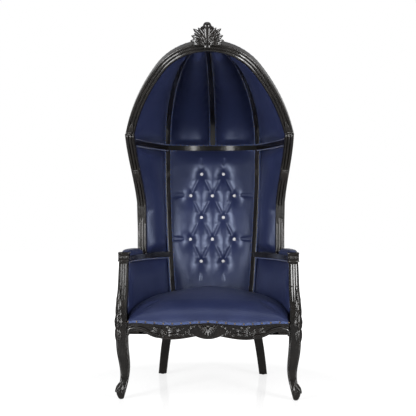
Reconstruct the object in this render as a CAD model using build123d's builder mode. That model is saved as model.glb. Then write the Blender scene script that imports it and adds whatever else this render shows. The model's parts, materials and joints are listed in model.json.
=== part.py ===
from build123d import *

import os
from math import atan2, cos, hypot, pi, radians, sin, sqrt

# A hooded porter's chair in the Louis XV manner: a carved and lacquered frame with a
# bonnet hood, upholstered in leather between narrow wooden ribs.
# Millimetres. +Z is up, the sitter faces -Y, and +X is to the right of someone who
# looks at the front of the chair. The origin lies on the floor, under the middle of the
# box that holds the whole chair. A setback is a distance behind the front of the feet,
# and a spread is a distance from the middle plane.

# Overall places
front_y = -310.0
seat_rail_top = 354.0
arm_height = 695.0
kink_height = 1267.0
band_drop = 35.0
arch_top_rise = 405.0

# Clearances
seat_gap = 0.4

# Feet and legs
glide_radius = 9.0
glide_height = 4.0
leg_spread = 409.0
leg_setback = 35.0
leg_block = 56.0
leg_top_rise = 11.0
leg_corner = 7.0
leg_steps = 16
block_drop = 8.0
rear_foot_spread = 274.0
rear_foot_setback = 700.0
rear_leg_top_spread = 229.0
rear_leg_top_setback = 588.0
rear_leg_width = 46.0

# Arm posts and arm rails
post_top_spread = 402.0
post_top_setback = 60.0
post_width = 48.0
post_corner = 5.0
post_steps = 8
capital_width = 52.0
capital_height = 43.0
flute_radius = 3.6
flute_pitch = 11.0
flute_foot_share = 0.3
flute_sides = 8
arm_rail_drop = 23.0
arm_rail_height = 27.0
arm_rail_width = 36.0
arm_bow_share = 0.105
arm_pad_rise = 32.0
arm_pad_width = 68.0
arm_pad_start = 0.065
arm_pad_end = 0.525

# Seat frame
rail_thickness = 34.0
rail_height = 46.0
front_rail_setback = 12.0
front_rail_bow = 10.0
front_rail_thickness = 38.0
front_rail_wave = 12.0
front_rail_drop = 65.0
back_rail_bow = 26.0
block_size = 48.0
block_height = 20.0

# Hood side frame
hood_foot_spread = 352.0
hood_foot_setback = 400.0
hood_kink_spread = 389.0
hood_kink_setback = 172.0
hood_bend_height = 880.0
hood_sweep_power = 1.4
hood_width = 46.0
hood_depth = 50.0
wing_bow = 12.0
reed_rise = 4.0
reed_count = 3
reed_flat_share = 0.3

# Hood arch, in its leaning plane
arch_top_setback = -92.0
arch_crown_radius = 283.0
arch_crown_turn = 53.0
arch_width = 44.0
arch_depth = 42.0

# Back stiles
stile_foot_spread = 208.0
stile_foot_setback = 563.0
stile_top_spread = 251.0
stile_top_setback = 667.0
stile_width = 27.0
stile_depth = 36.0
stile_turn = 35.0
stile_steps = 4
back_bow_low = 28.0
back_bow_high = 55.0

# Bands and dome ribs
band_height = 26.0
band_depth = 34.0
rib_top_width = 19.0
rib_top_depth = 28.0
rib_top_spread = 76.0
rib_steps = 7

# Upholstery
chord_count = 6
panel_split = 2.0
pad_edge_drop = 4.0
wing_pad_crown = 14.0
arm_inner_crown = 15.0
arm_steps = 3
dome_pad_crown = 16.0
gore_gap = 2.5
gore_foot_share = 0.4
gore_head_share = 0.2
back_pad_crown = 46.0
back_end_share = 0.12
back_end_rise_share = 0.45
outer_crown = 5.0
seat_side_height = 104.0
seat_crown_height = 134.0
seat_shoulder = 34.0
shoulder_count = 4
seat_steps = 10
seat_ridge_share = 0.55
seat_nose = 95.0
nose_low_share = 0.16
nose_high_share = 0.73
nose_bend_share = 0.3
seat_front_setback = 10.0
seat_back_setback = 534.0
seat_edge_gap = 3.0
webbing_thickness = 2.0
webbing_width = 50.0
webbing_count = 5
dust_cover_thickness = 1.2
foam_height = 22.0
foam_inset = 30.0

# Tufting
button_pitch = 118.0
button_top_drop = 127.0
button_low_rise = 136.0
button_rows = (2, 3, 2, 3, 2)
button_radius = 8.0
button_height = 7.0
button_taper = 32.0
button_sides = 8
tuft_radius = 26.0
tuft_depth = 17.0
tuft_sides = 10
fold_width = 13.0
fold_depth = 7.0
side_fold_length = 70.0
end_fold_length = 60.0

# Crest
crest_height = 110.0
crest_forward = 9.0
crest_lean = 6.0
crest_depth = 40.0
crest_leaf_width = 31.0
crest_root = 10.0
crest_stem_width = 28.0
crest_leaf_depth_share = 0.6
crest_heart_depth_share = 0.4
crest_bud_radius = 18.0
crest_eye_radius = 9.0
crest_eye_spread = 44.0
crest_eye_rise = 6.0

os.makedirs("parts", exist_ok=True)


def lerp(start, end, share):
    """Value a share of the way from start to end."""
    return start + (end - start) * share


def eased(share):
    """Share that leaves and arrives smoothly."""
    return share * share * (3 - 2 * share)


def held(share):
    """Share kept between nought and one."""
    return min(max(share, 0), 1)


def smoothed(table, steps):
    """Rows of a table joined by a smooth curve and read at an even number of steps."""
    rows = []
    for index in range(steps + 1):
        run = index / steps * (len(table) - 1)
        low = min(int(run), len(table) - 2)
        share = run - low
        before, start, end, after = (
            table[min(max(low + offset, 0), len(table) - 1)] for offset in (-1, 0, 1, 2)
        )
        rows.append(
            tuple(
                (2 * b + share * (c - a) + share**2 * (2 * a - 5 * b + 4 * c - d)
                 + share**3 * (3 * b - a - 3 * c + d)) / 2
                for a, b, c, d in zip(before, start, end, after)
            )
        )
    return rows


def at(spread, setback, height):
    """Point by its distances from the middle, the front of the feet and the floor."""
    return Vector(spread, front_y + setback, height)


def mirrored(point):
    """The same point on the left of the chair."""
    return Vector(-point.X, point.Y, point.Z)


# Places that follow from the ones above
rail_bottom = seat_rail_top - rail_height
leg_top = seat_rail_top + leg_top_rise
block_bottom = rail_bottom - block_drop
arm_rail_top = arm_height - arm_rail_drop
arm_rail_low = arm_rail_top - arm_rail_height
band_middle = kink_height - band_drop
band_low = band_middle - band_height / 2
band_high = band_middle + band_height / 2
arch_top = kink_height + arch_top_rise
button_top_height = band_low - button_top_drop
button_low_height = seat_rail_top + seat_crown_height + button_low_rise
button_row_pitch = (button_top_height - button_low_height) / (len(button_rows) - 1)
outward = Vector(1, 0, 0)
backward = Vector(0, 1, 0)
upward = Vector(0, 0, 1)


# Centre lines of the frame


def post_centre(height):
    """Arm post, which leans back and in a little from the leg to the arm."""
    share = held((height - leg_top) / (arm_height - leg_top))
    return at(
        lerp(leg_spread, post_top_spread, share),
        lerp(leg_setback, post_top_setback, share),
        height,
    )


def hood_centre(height):
    """Hood side frame: upright on the arm, then sweeping forward and out to the kink."""
    share = held((height - hood_bend_height) / (kink_height - hood_bend_height))
    return at(
        lerp(hood_foot_spread, hood_kink_spread, eased(share)),
        lerp(hood_foot_setback, hood_kink_setback, share**hood_sweep_power),
        height,
    )


def stile_share(height):
    """How far up the back stile a height lies."""
    return held((height - seat_rail_top) / (band_high - seat_rail_top))


def stile_centre(height):
    """Back stile, raked back and spreading towards the band."""
    share = stile_share(height)
    return at(
        lerp(stile_foot_spread, stile_top_spread, sin(share * pi / 2)),
        lerp(stile_foot_setback, stile_top_setback, share),
        height,
    )


def back_bow(height):
    """How far the back bows behind the line between its stiles."""
    return lerp(back_bow_low, back_bow_high, stile_share(height))


stile_along = Vector(cos(radians(stile_turn)), -sin(radians(stile_turn)), 0)
stile_inward = Vector(-sin(radians(stile_turn)), -cos(radians(stile_turn)), 0)

# The arch lies in one plane that leans forward from the kinks to the top. In it the
# centre line is a crown arc and, tangent to that, a flatter arc down to each kink.
arch_foot = at(0, hood_kink_setback, kink_height)
arch_rise = at(0, arch_top_setback, arch_top) - arch_foot
arch_up = arch_rise.normalized()
arch_front = outward.cross(arch_up)
arch_height = arch_rise.length - arch_width / 2
arch_plane = Plane(origin=arch_foot, x_dir=outward, z_dir=arch_front)
crown_turn = radians(arch_crown_turn)
crown_middle = arch_height - arch_crown_radius
joint_across = arch_crown_radius * sin(crown_turn)
joint_up = crown_middle + arch_crown_radius * cos(crown_turn)
flank_across = hood_kink_spread - joint_across
flank_chord = hypot(flank_across, joint_up)
flank_radius = flank_chord**2 / (
    2 * (joint_up * cos(crown_turn) - flank_across * sin(crown_turn))
)
flank_turn = 2 * atan2(flank_chord / 2, sqrt(flank_radius**2 - flank_chord**2 / 4))
flank_length = flank_radius * flank_turn
crown_length = arch_crown_radius * crown_turn


def arch_at(share):
    """Point, tangent and inward direction on the arch, from the right kink to the top."""
    run = share * (flank_length + crown_length)
    if run < flank_length:
        turn = crown_turn + (flank_length - run) / flank_radius
        radius = flank_radius
        middle_across = joint_across - flank_radius * sin(crown_turn)
        middle_up = joint_up - flank_radius * cos(crown_turn)
    else:
        turn = (flank_length + crown_length - run) / arch_crown_radius
        radius = arch_crown_radius
        middle_across = 0
        middle_up = crown_middle
    away = outward * sin(turn) + arch_up * cos(turn)
    tangent = outward * -cos(turn) + arch_up * sin(turn)
    middle = arch_foot + outward * middle_across + arch_up * middle_up
    return middle + away * radius, tangent, away * -1


def arch_share_at(spread):
    """Share of the way up the arch where it has come in to a given spread."""
    low, high = 0, 1
    for _ in range(30):
        middle = (low + high) / 2
        if arch_at(middle)[0].X > spread:
            low = middle
        else:
            high = middle
    return low


rib_top_share = arch_share_at(rib_top_spread)
side_rib_foot = stile_centre(band_high)
side_rib_head = arch_at(rib_top_share)[0]
centre_rib_foot = Vector(0, side_rib_foot.Y + back_bow(band_high), band_high)
centre_rib_head = arch_at(1)[0]


def dome_rib(foot, head, foot_turn, share):
    """Point, tangent, width direction and inward direction on a quarter-ellipse rib."""
    angle = share * pi / 2
    level = Vector(head.X - foot.X, head.Y - foot.Y, 0)
    climb = upward * (head.Z - foot.Z)
    point = foot + level * (1 - cos(angle)) + climb * sin(angle)
    tangent = (level * sin(angle) + climb * cos(angle)).normalized()
    turn = lerp(foot_turn, atan2(-level.X, -level.Y), share)
    width_way = Vector(cos(turn), -sin(turn), 0)
    width_way = (width_way - tangent * width_way.dot(tangent)).normalized()
    return point, tangent, width_way, width_way.cross(tangent)


def side_rib(share):
    """Right-hand rib of the dome, on the back stile."""
    return dome_rib(side_rib_foot, side_rib_head, radians(stile_turn), share)


def centre_rib(share):
    """Middle rib of the dome, on the back band."""
    return dome_rib(centre_rib_foot, centre_rib_head, 0, share)


def rib_width(share):
    """Width of a dome rib, which narrows towards the arch."""
    return lerp(stile_width, rib_top_width, share)


def rib_depth(share):
    """Depth of a dome rib, which thins towards the arch."""
    return lerp(stile_depth, rib_top_depth, share)


# Sections and skins
chord_shares = [index / chord_count for index in range(chord_count + 1)]


def skin(loops):
    """Closed solid through loops of points, with its sides in flat triangles.

    The two halves of a loop are cut along opposite diagonals, so that the back of a pad
    and the front of the panel behind it have the same facets.
    """
    faces = [Face(Wire.make_polygon(loops[0])), Face(Wire.make_polygon(loops[-1]))]
    for low, high in zip(loops, loops[1:]):
        for index in range(len(low)):
            after = (index + 1) % len(low)
            if 2 * index < len(low):
                corners = (low[index], low[after], high[after], high[index])
            else:
                corners = (low[after], high[after], high[index], low[index])
            first, second, third, fourth = corners
            faces.append(Face(Wire.make_polygon([first, second, third])))
            faces.append(Face(Wire.make_polygon([first, third, fourth])))
    return Solid(Shell(faces)).fix()


def slab_loop(inner_a, inner_b, outer_b, outer_a, inner_rise, outer_rise):
    """Four-cornered section of a pad or panel, its inner and outer edges bowed.

    Each bow is a parabola of a few chords, and its rise is positive towards the sitter.
    """
    centre = (inner_a + inner_b + outer_b + outer_a) / 4
    across = (inner_b - outer_a).cross(outer_b - inner_a)
    plane = Plane(origin=centre, x_dir=inner_b - inner_a, z_dir=across)
    flat = [plane.to_local_coords(p) for p in (inner_a, inner_b, outer_b, outer_a)]
    a, b, c, d = (Vector(p.X, p.Y, 0) for p in flat)
    sitter_way = ((a + b) - (c + d)).normalized()
    loop = []
    for first, last, rise in ((a, b, inner_rise), (c, d, outer_rise)):
        for share in chord_shares:
            bow = sitter_way * rise * 4 * share * (1 - share)
            loop.append(plane.from_local_coords(first + (last - first) * share + bow))
    return loop


def bar_face(centre, width_way, depth_way, width, depth):
    """Rectangular section of a bar."""
    plane = Plane(origin=centre, x_dir=width_way, z_dir=width_way.cross(depth_way))
    with BuildSketch(plane) as section:
        Rectangle(width, depth)
    return section.sketch


def post_loop(centre, width, corner):
    """Level square section of a leg or post with its corners taken off."""
    half = width / 2
    cut = half - corner
    corners = (
        (half, -cut), (half, cut), (cut, half), (-cut, half),
        (-half, cut), (-half, -cut), (-cut, -half), (cut, -half),
    )
    return [centre + Vector(x, y, 0) for x, y in corners]


def reeded_face(plane, width, depth):
    """Section of the hood frame: a plain back and sides and three reeds in front (+Y)."""
    front = depth / 2 - reed_rise
    reed = width / reed_count
    with BuildSketch(plane) as section:
        with BuildLine():
            crests = []
            for index in range(reed_count):
                left = -width / 2 + reed * index
                crests.append((left, front))
                crests.append((left + reed * reed_flat_share, front + reed_rise))
                crests.append((left + reed * (1 - reed_flat_share), front + reed_rise))
            Polyline(
                *crests,
                (width / 2, front),
                (width / 2, -depth / 2),
                (-width / 2, -depth / 2),
                close=True,
            )
        make_face()
    return section.sketch


def bow_circle(start, end, bow):
    """Centre and radius of the level arc from start to end that bows outwards by bow."""
    run = end - start
    chord = run.length
    radius = (chord**2 / 4 + bow**2) / (2 * bow)
    side = Vector(run.Y, -run.X, 0).normalized()
    return (start + end) / 2 + side * (bow - radius), radius


def bowed_strip(start, end, bow, half_width):
    """Level face of a curved bar whose centre line bows to the right of its run."""
    middle, radius = bow_circle(start, end, bow)
    top = middle + Vector(end.Y - start.Y, start.X - end.X, 0).normalized() * radius
    grow = 1 + half_width / radius
    shrink = 1 - half_width / radius
    outer = [middle + (p - middle) * grow for p in (start, top, end)]
    inner = [middle + (p - middle) * shrink for p in (start, top, end)]
    with BuildSketch(Plane.XY.offset(start.Z)) as section:
        with BuildLine():
            ThreePointArc(*[(p.X, p.Y) for p in outer])
            Line((outer[2].X, outer[2].Y), (inner[2].X, inner[2].Y))
            ThreePointArc(*[(p.X, p.Y) for p in reversed(inner)])
            Line((inner[0].X, inner[0].Y), (outer[0].X, outer[0].Y))
        make_face()
    return section.sketch


def bow_point(start, end, bow, share):
    """Point a share of the way along the level arc that bows to the right of its run."""
    middle, radius = bow_circle(start, end, bow)
    half_turn = atan2((end - start).length / 2, radius - bow)
    spoke = start - middle
    turn = 2 * half_turn * share
    return middle + Vector(
        spoke.X * cos(turn) - spoke.Y * sin(turn), spoke.X * sin(turn) + spoke.Y * cos(turn), 0
    )


def level(point, height):
    """The same place on the plan at another height."""
    return Vector(point.X, point.Y, height)


def finish(part, name):
    """Label a piece and write its file."""
    part.label = name
    export_step(part, f"parts/{name}.step")


def finish_pair(part, name):
    """Write a right-hand piece and its mirrored left-hand twin."""
    with BuildPart() as twin:
        mirror(part, about=Plane.YZ)
    finish(part, f"{name}_right")
    finish(twin.part, f"{name}_left")
    return twin.part


# Glides: small round pads nailed under the four feet
rear_foot = at(rear_foot_spread, rear_foot_setback, 0)
front_foot_shift = 4.0
front_foot = at(leg_spread + front_foot_shift, leg_setback - front_foot_shift, 0)
with BuildPart() as glides:
    with Locations(front_foot, mirrored(front_foot), rear_foot, mirrored(rear_foot)):
        Cylinder(
            glide_radius, glide_height, align=(Align.CENTER, Align.CENTER, Align.MIN)
        )
finish(glides.part, "glides")

# Front legs: cabriole, carried out and forward along the diagonal of the seat corner.
# Each station is a height, an outward shift and a width, as shares of the leg's height,
# of the glide's radius and of the leg block's width.
front_leg_shares = (
    (0.011, 0.44, 0.43),
    (0.110, 0.55, 0.82),
    (0.208, -0.75, 0.70),
    (0.307, -1.30, 0.73),
    (0.405, -1.28, 0.83),
    (0.504, -0.89, 0.92),
    (0.603, -0.39, 0.98),
    (0.712, -0.06, 1.00),
    (0.822, 0.00, 1.00),
)
with BuildPart() as front_leg:
    stations = []
    for height_share, shift_share, width_share in smoothed(front_leg_shares, leg_steps):
        shift = shift_share * glide_radius
        stations.append(
            post_loop(
                at(leg_spread + shift, leg_setback - shift, height_share * leg_top),
                width_share * leg_block,
                leg_corner * width_share,
            )
        )
    add(skin(stations))
    block_foot = front_leg_shares[-1][0] * leg_top
    block = [
        post_loop(at(leg_spread, leg_setback, height), leg_block, leg_corner)
        for height in (block_foot, leg_top)
    ]
    add(skin(block))
front_leg_left = finish_pair(front_leg.part, "front_leg")

# Rear legs: square, tapered, raked back and splayed in a slight sabre curve
rear_leg_shares = ((0.0, 0.0, 0.93), (0.25, 0.20, 0.96), (0.55, 0.48, 1.02), (1.0, 1.0, 1.06))
with BuildPart() as rear_leg:
    stations = []
    for height_share, top_share, width_share in smoothed(rear_leg_shares, leg_steps // 2):
        stations.append(
            post_loop(
                at(
                    lerp(rear_foot_spread, rear_leg_top_spread, top_share),
                    lerp(rear_foot_setback, rear_leg_top_setback, top_share),
                    lerp(glide_height, block_bottom, height_share),
                ),
                width_share * rear_leg_width,
                leg_corner / 2,
            )
        )
    block_foot = at(rear_leg_top_spread, rear_leg_top_setback, block_bottom)
    block_head = level(block_foot, seat_rail_top)
    block_width = rear_leg_shares[-1][-1] * rear_leg_width
    stations.append(post_loop(block_head, block_width, leg_corner / 2))
    add(skin(stations))
rear_leg_left = finish_pair(rear_leg.part, "rear_leg")

# Arm posts: a swelling fluted shaft under a square capital
post_shares = ((0.0, 1.05, 0), (0.23, 1.12, 1), (0.52, 1.04, 0), (0.8, 0.98, 0), (1.0, 0.94, 0))
with BuildPart() as arm_post:
    stations = []
    for height_share, width_share, swell in smoothed(post_shares, post_steps):
        height = lerp(leg_top, arm_height - capital_height, height_share)
        centre = post_centre(height) + outward * swell * post_corner
        stations.append(post_loop(centre, width_share * post_width, post_corner))
    add(skin(stations))
    capital_foot = post_centre(arm_height - capital_height)
    capital = [
        post_loop(level(capital_foot, height), capital_width, post_corner)
        for height in (capital_foot.Z, arm_height)
    ]
    add(skin(capital))
    shaft_foot = post_centre(lerp(leg_top, arm_height, flute_foot_share))
    shaft_head = post_centre(arm_height - capital_height - flute_pitch)
    lean = shaft_head - shaft_foot
    for index in (-1, 0, 1):
        front_flute = shaft_foot + Vector(index * flute_pitch, -post_width / 2, 0)
        side_flute = shaft_foot + Vector(post_width / 2, index * flute_pitch, 0)
        for flute in (front_flute, side_flute):
            with BuildSketch(Plane(origin=flute, z_dir=lean)):
                RegularPolygon(flute_radius, flute_sides)
            extrude(amount=lean.length, mode=Mode.SUBTRACT)
finish_pair(arm_post.part, "arm_post")

# Back stiles
stile_heights = [
    lerp(seat_rail_top, band_high, index / stile_steps) for index in range(stile_steps + 1)
]
with BuildPart() as back_stile:
    loft(
        [
            bar_face(stile_centre(height), stile_along, stile_inward, stile_width, stile_depth)
            for height in stile_heights
        ],
        ruled=True,
    )
back_stile_left = finish_pair(back_stile.part, "back_stile")

# Arm rails: level bars that bow out from the arm posts round to the back stiles
arm_rail_start = post_centre(arm_rail_low)
arm_rail_end = level(stile_centre(arm_rail_low), arm_rail_low)


def arm_bow(height):
    """Bow of the arm's plan curve between the post and the stile at a height."""
    return (level(stile_centre(height), 0) - level(post_centre(height), 0)).length * arm_bow_share


with BuildPart() as arm_rail:
    extrude(
        bowed_strip(arm_rail_start, arm_rail_end, arm_bow(arm_rail_low), arm_rail_width / 2),
        amount=arm_rail_height,
    )
    add(arm_post.part, mode=Mode.SUBTRACT)
    add(back_stile.part, mode=Mode.SUBTRACT)
finish_pair(arm_rail.part, "arm_rail")

# Front rail: a serpentine apron with a lobed lower edge, bowed a little on the plan.
# Points are shares of its half length, of the wave of its top edge above the seat rails'
# top, and of its drop below that.
front_rail_end = leg_spread - leg_block / 2
front_rail_top_shares = (
    (0.0, 1.0), (0.2, 0.5), (0.45, 0.0), (0.70, 0.42), (0.84, 0.70), (1.0, 0.67)
)
front_rail_bottom_shares = (
    (1.0, 0.58), (0.86, 0.47), (0.69, 0.78), (0.59, 0.97), (0.34, 1.0), (0.15, 0.80), (0.0, 1.0)
)


def front_rail_face(grow):
    """Front outline of the rail, its top edge raised by grow."""
    top = [
        (x * front_rail_end, seat_rail_top + z * front_rail_wave + grow)
        for x, z in front_rail_top_shares
    ]
    low = [
        (x * front_rail_end, seat_rail_top - z * front_rail_drop)
        for x, z in front_rail_bottom_shares
    ]
    other_top = [(-x, z) for x, z in top]
    other_low = [(-x, z) for x, z in low]
    with BuildSketch(Plane.XZ.offset(-front_y)) as section:
        with BuildLine():
            Spline(*reversed(other_top[1:]), *top)
            Line(top[-1], low[0])
            Spline(*low[:-1])
            ThreePointArc(low[-2], low[-1], other_low[-2])
            Spline(*reversed(other_low[:-1]))
            Line(other_low[0], other_top[-1])
        make_face()
    return section.sketch


def front_rail_plan():
    """Plan outline of the rail."""
    face = front_y + front_rail_setback
    back = face + front_rail_thickness
    with BuildSketch() as section:
        with BuildLine():
            ThreePointArc(
                (-front_rail_end, face), (0, face - front_rail_bow), (front_rail_end, face)
            )
            Line((front_rail_end, face), (front_rail_end, back))
            Line((front_rail_end, back), (-front_rail_end, back))
            Line((-front_rail_end, back), (-front_rail_end, face))
        make_face()
    return section.sketch


with BuildPart() as front_rail:
    extrude(front_rail_face(0), amount=leg_block * 2, both=True)
    extrude(front_rail_plan(), amount=leg_top + leg_block, mode=Mode.INTERSECT)
finish(front_rail.part, "front_rail")

# Side rails follow the arms on the plan, from leg block to leg block
side_rail_start = at(leg_spread, leg_setback, rail_bottom)
side_rail_end = at(rear_leg_top_spread, rear_leg_top_setback, rail_bottom)
side_rail_bow = (side_rail_end - side_rail_start).length * arm_bow_share
with BuildPart() as side_rail:
    extrude(
        bowed_strip(side_rail_start, side_rail_end, side_rail_bow, rail_thickness / 2),
        amount=seat_rail_top - rail_bottom,
    )
    add(front_leg.part, mode=Mode.SUBTRACT)
    add(rear_leg.part, mode=Mode.SUBTRACT)
finish_pair(side_rail.part, "side_rail")

# Back rail, bowed behind the rear legs
with BuildPart() as back_rail:
    extrude(
        bowed_strip(side_rail_end, mirrored(side_rail_end), back_rail_bow, rail_thickness / 2),
        amount=seat_rail_top - rail_bottom,
    )
    add(rear_leg.part, mode=Mode.SUBTRACT)
    add(rear_leg_left, mode=Mode.SUBTRACT)
finish(back_rail.part, "back_rail")

# Hood side frames: reeded bars that stand on the arm rails
hood_station_share = 0.6
hood_steps = 7
hood_heights = [
    arm_rail_top,
    lerp(arm_rail_top, hood_bend_height, hood_station_share),
    *[
        lerp(hood_bend_height, kink_height, index / hood_steps)
        for index in range(1, hood_steps + 1)
    ],
]
with BuildPart() as hood_stile:
    loft(
        [
            reeded_face(
                Plane(origin=hood_centre(height), x_dir=outward * -1, z_dir=upward),
                hood_width,
                hood_depth,
            )
            for height in hood_heights
        ],
        ruled=True,
    )
finish_pair(hood_stile.part, "hood_stile")

# Hood arch: two reeded halves that stand on the side frames and meet under the crest
kink_point, kink_tangent, _ = arch_at(0)
arch_joint = (joint_across, joint_up)
arch_middle_share = flank_length / (flank_length + crown_length)
flank_middle = arch_plane.to_local_coords(arch_at(arch_middle_share / 2)[0])
crown_half = arch_plane.to_local_coords(arch_at((1 + arch_middle_share) / 2)[0])
tail = arch_plane.to_local_coords(kink_point - kink_tangent * leg_block)
with BuildPart() as hood_arch:
    with BuildLine(arch_plane) as arch_path:
        Line((tail.X, tail.Y), (hood_kink_spread, 0))
        ThreePointArc((hood_kink_spread, 0), (flank_middle.X, flank_middle.Y), arch_joint)
        ThreePointArc(arch_joint, (crown_half.X, crown_half.Y), (0, arch_height))
    sweep(
        sections=reeded_face(
            Plane(
                origin=kink_point - kink_tangent * leg_block,
                x_dir=arch_front.cross(kink_tangent),
                z_dir=kink_tangent,
            ),
            arch_width,
            arch_depth,
        ),
        path=arch_path.wire(),
    )
    split(bisect_by=Plane.XY.offset(kink_height), keep=Keep.TOP)
finish_pair(hood_arch.part, "hood_arch")

# Crest: a carved palmette over the top of the arch, a bud on a stem between four leaves
# a side, the lowest ones rolled into scroll eyes over the face of the arch. Each leaf is
# a lean in degrees and a length as a share of the crest's height. The heart behind them
# fills the angles between the leaves; its corners are shares of the crest's height.
upper_leaf_shares = ((22, 0.90), (35, 0.97), (52, 0.80))
lower_leaf_shares = ((75, 0.72),)
heart_shares = ((0.44, 0.0), (0.46, 0.51), (0.36, 0.66), (0.24, 0.78))
crest_plane = Plane(
    origin=centre_rib_head - backward * crest_forward,
    x_dir=outward,
    z_dir=Vector(0, -cos(radians(crest_lean)), -sin(radians(crest_lean))),
)
crown_axis_foot = arch_foot + arch_up * crown_middle + arch_front * arch_depth / 2


def crest_leaf(turn, length_share):
    """Pointed leaf in the crest's plane that leans to one side by an angle."""
    root = Vector(0, -crest_root)
    way = Vector(sin(radians(turn)), cos(radians(turn)))
    tip = root + way * crest_height * length_share
    belly = Vector(way.Y, -way.X) * crest_leaf_width / 2
    with BuildSketch(crest_plane) as leaf:
        with BuildLine():
            ThreePointArc(root, (root + tip) / 2 + belly, tip)
            ThreePointArc(tip, (root + tip) / 2 - belly, root)
        make_face()
    return leaf.sketch


with BuildPart() as crest:
    for leaf_shares, depth in (
        (upper_leaf_shares, crest_depth * crest_leaf_depth_share),
        (lower_leaf_shares, crest_depth),
    ):
        for turn, length_share in leaf_shares:
            for lean in (turn, -turn):
                extrude(crest_leaf(lean, length_share), amount=depth / 2, both=True)
    heart = [(x * crest_height, y * crest_height) for x, y in heart_shares]
    with BuildSketch(crest_plane):
        with BuildLine():
            Polyline(*heart, *[(-x, y) for x, y in reversed(heart)], close=True)
        make_face()
    extrude(amount=crest_depth * crest_heart_depth_share / 2, both=True)
    with BuildSketch(crest_plane):
        with Locations((crest_eye_spread, crest_eye_rise), (-crest_eye_spread, crest_eye_rise)):
            Circle(crest_eye_radius)
    extrude(amount=crest_depth / 2, both=True)
    with BuildSketch(crest_plane):
        with Locations((0, (crest_height - crest_bud_radius) / 2 - crest_root)):
            Rectangle(crest_stem_width, crest_height - crest_bud_radius + crest_root * 2)
        with Locations((0, crest_height - crest_bud_radius)):
            Circle(crest_bud_radius)
    extrude(amount=crest_depth / 2 + reed_rise, both=True)
    with Locations(Plane(origin=crown_axis_foot, z_dir=arch_front)):
        Cylinder(
            arch_crown_radius + arch_width / 2,
            crest_height,
            align=(Align.CENTER, Align.CENTER, Align.MAX),
            mode=Mode.SUBTRACT,
        )
finish(crest.part, "crest")

# Bands: side bands from the hood frame to the stiles, and one across the back
hood_at_band = level(hood_centre(band_middle), band_low)
stile_at_band = level(stile_centre(band_middle), band_low)
with BuildPart() as band_side:
    extrude(
        bowed_strip(hood_at_band, stile_at_band, wing_bow, band_depth / 2), amount=band_height
    )
    add(hood_stile.part, mode=Mode.SUBTRACT)
    add(back_stile.part, mode=Mode.SUBTRACT)
band_side_left = finish_pair(band_side.part, "band_side")
with BuildPart() as band_back:
    extrude(
        bowed_strip(
            stile_at_band, mirrored(stile_at_band), back_bow(band_middle), band_depth / 2
        ),
        amount=band_height,
    )
    for neighbour in (back_stile.part, back_stile_left, band_side.part, band_side_left):
        add(neighbour, mode=Mode.SUBTRACT)
finish(band_back.part, "band_back")

# Dome ribs: quarter ellipses from the band to the back of the arch
arch_back_plane = arch_plane.offset(-arch_depth / 2)
rib_shares = [index / rib_steps for index in range(rib_steps + 1)]


def rib_stations(rib):
    """Sections of a dome rib from its foot to the arch."""
    stations = []
    for share in rib_shares:
        point, _, width_way, inward = rib(share)
        stations.append(
            bar_face(point, width_way, inward, rib_width(share), rib_depth(share))
        )
    return stations


with BuildPart() as dome_rib_side:
    loft(rib_stations(side_rib), ruled=True)
    split(bisect_by=arch_back_plane, keep=Keep.BOTTOM)
finish_pair(dome_rib_side.part, "dome_rib_side")
with BuildPart() as dome_rib_centre:
    loft(rib_stations(centre_rib), ruled=True)
    split(bisect_by=arch_back_plane, keep=Keep.BOTTOM)
finish(dome_rib_centre.part, "dome_rib_centre")


# Seat support: webbing tacked under the rails, a dust cover below it, foam above it
# and glued blocks in the corners
def seat_edge(setback, inset):
    """Spread of the seat frame's inner outline at a setback, less an inset."""
    start = level(side_rail_start, 0)
    middle, radius = bow_circle(start, level(side_rail_end, 0), side_rail_bow)
    rise = front_y + setback - middle.Y
    return middle.X + sqrt(radius**2 - rise**2) - inset


webbing_front = front_rail_setback + front_rail_thickness
webbing_back = rear_leg_top_setback
webbing_low = rail_bottom - webbing_thickness
with BuildPart() as seat_webbing:
    strap_step = (webbing_back - webbing_front) / (webbing_count + 1)
    for index in range(1, webbing_count + 1):
        setback = webbing_front + strap_step * index
        half = seat_edge(setback, 0)
        with Locations((0, front_y + setback, webbing_low)):
            Box(
                half * 2,
                webbing_width,
                webbing_thickness,
                align=(Align.CENTER, Align.CENTER, Align.MIN),
            )
finish(seat_webbing.part, "seat_webbing")


def seat_outline(front, back, inset):
    """Plan outline of a layer of the seat: straight in front, bowed at the sides."""
    half_front = seat_edge(front, inset)
    half_middle = seat_edge((front + back) / 2, inset)
    half_back = seat_edge(back, inset)
    with BuildSketch() as section:
        with BuildLine():
            Line((-half_front, front_y + front), (half_front, front_y + front))
            ThreePointArc(
                (half_front, front_y + front),
                (half_middle, front_y + (front + back) / 2),
                (half_back, front_y + back),
            )
            Line((half_back, front_y + back), (-half_back, front_y + back))
            ThreePointArc(
                (-half_back, front_y + back),
                (-half_middle, front_y + (front + back) / 2),
                (-half_front, front_y + front),
            )
        make_face()
    return section.sketch


with BuildPart() as dust_cover:
    extrude(
        seat_outline(webbing_front, webbing_back, 0).moved(
            Location((0, 0, webbing_low - seat_gap - dust_cover_thickness))
        ),
        amount=dust_cover_thickness,
    )
    for leg in (front_leg.part, front_leg_left, rear_leg.part, rear_leg_left):
        add(leg, mode=Mode.SUBTRACT)
finish(dust_cover.part, "dust_cover")

foam_low = seat_rail_top - seat_gap - foam_height
with BuildPart() as seat_foam:
    extrude(
        seat_outline(webbing_front + foam_inset / 2, webbing_back - foam_inset, foam_inset).moved(
            Location((0, 0, foam_low))
        ),
        amount=foam_height,
    )
finish(seat_foam.part, "seat_foam")


# Pads and outer panels of the sides and the back, all level sections between two uprights.
# The inner half of the wall is the pad, the outer half is the outside panel.
side_clear = stile_width / 2 + seat_gap
stile_inner = stile_depth / 2 - pad_edge_drop
stile_outer = stile_depth / 2 - pad_edge_drop / 2


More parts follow.
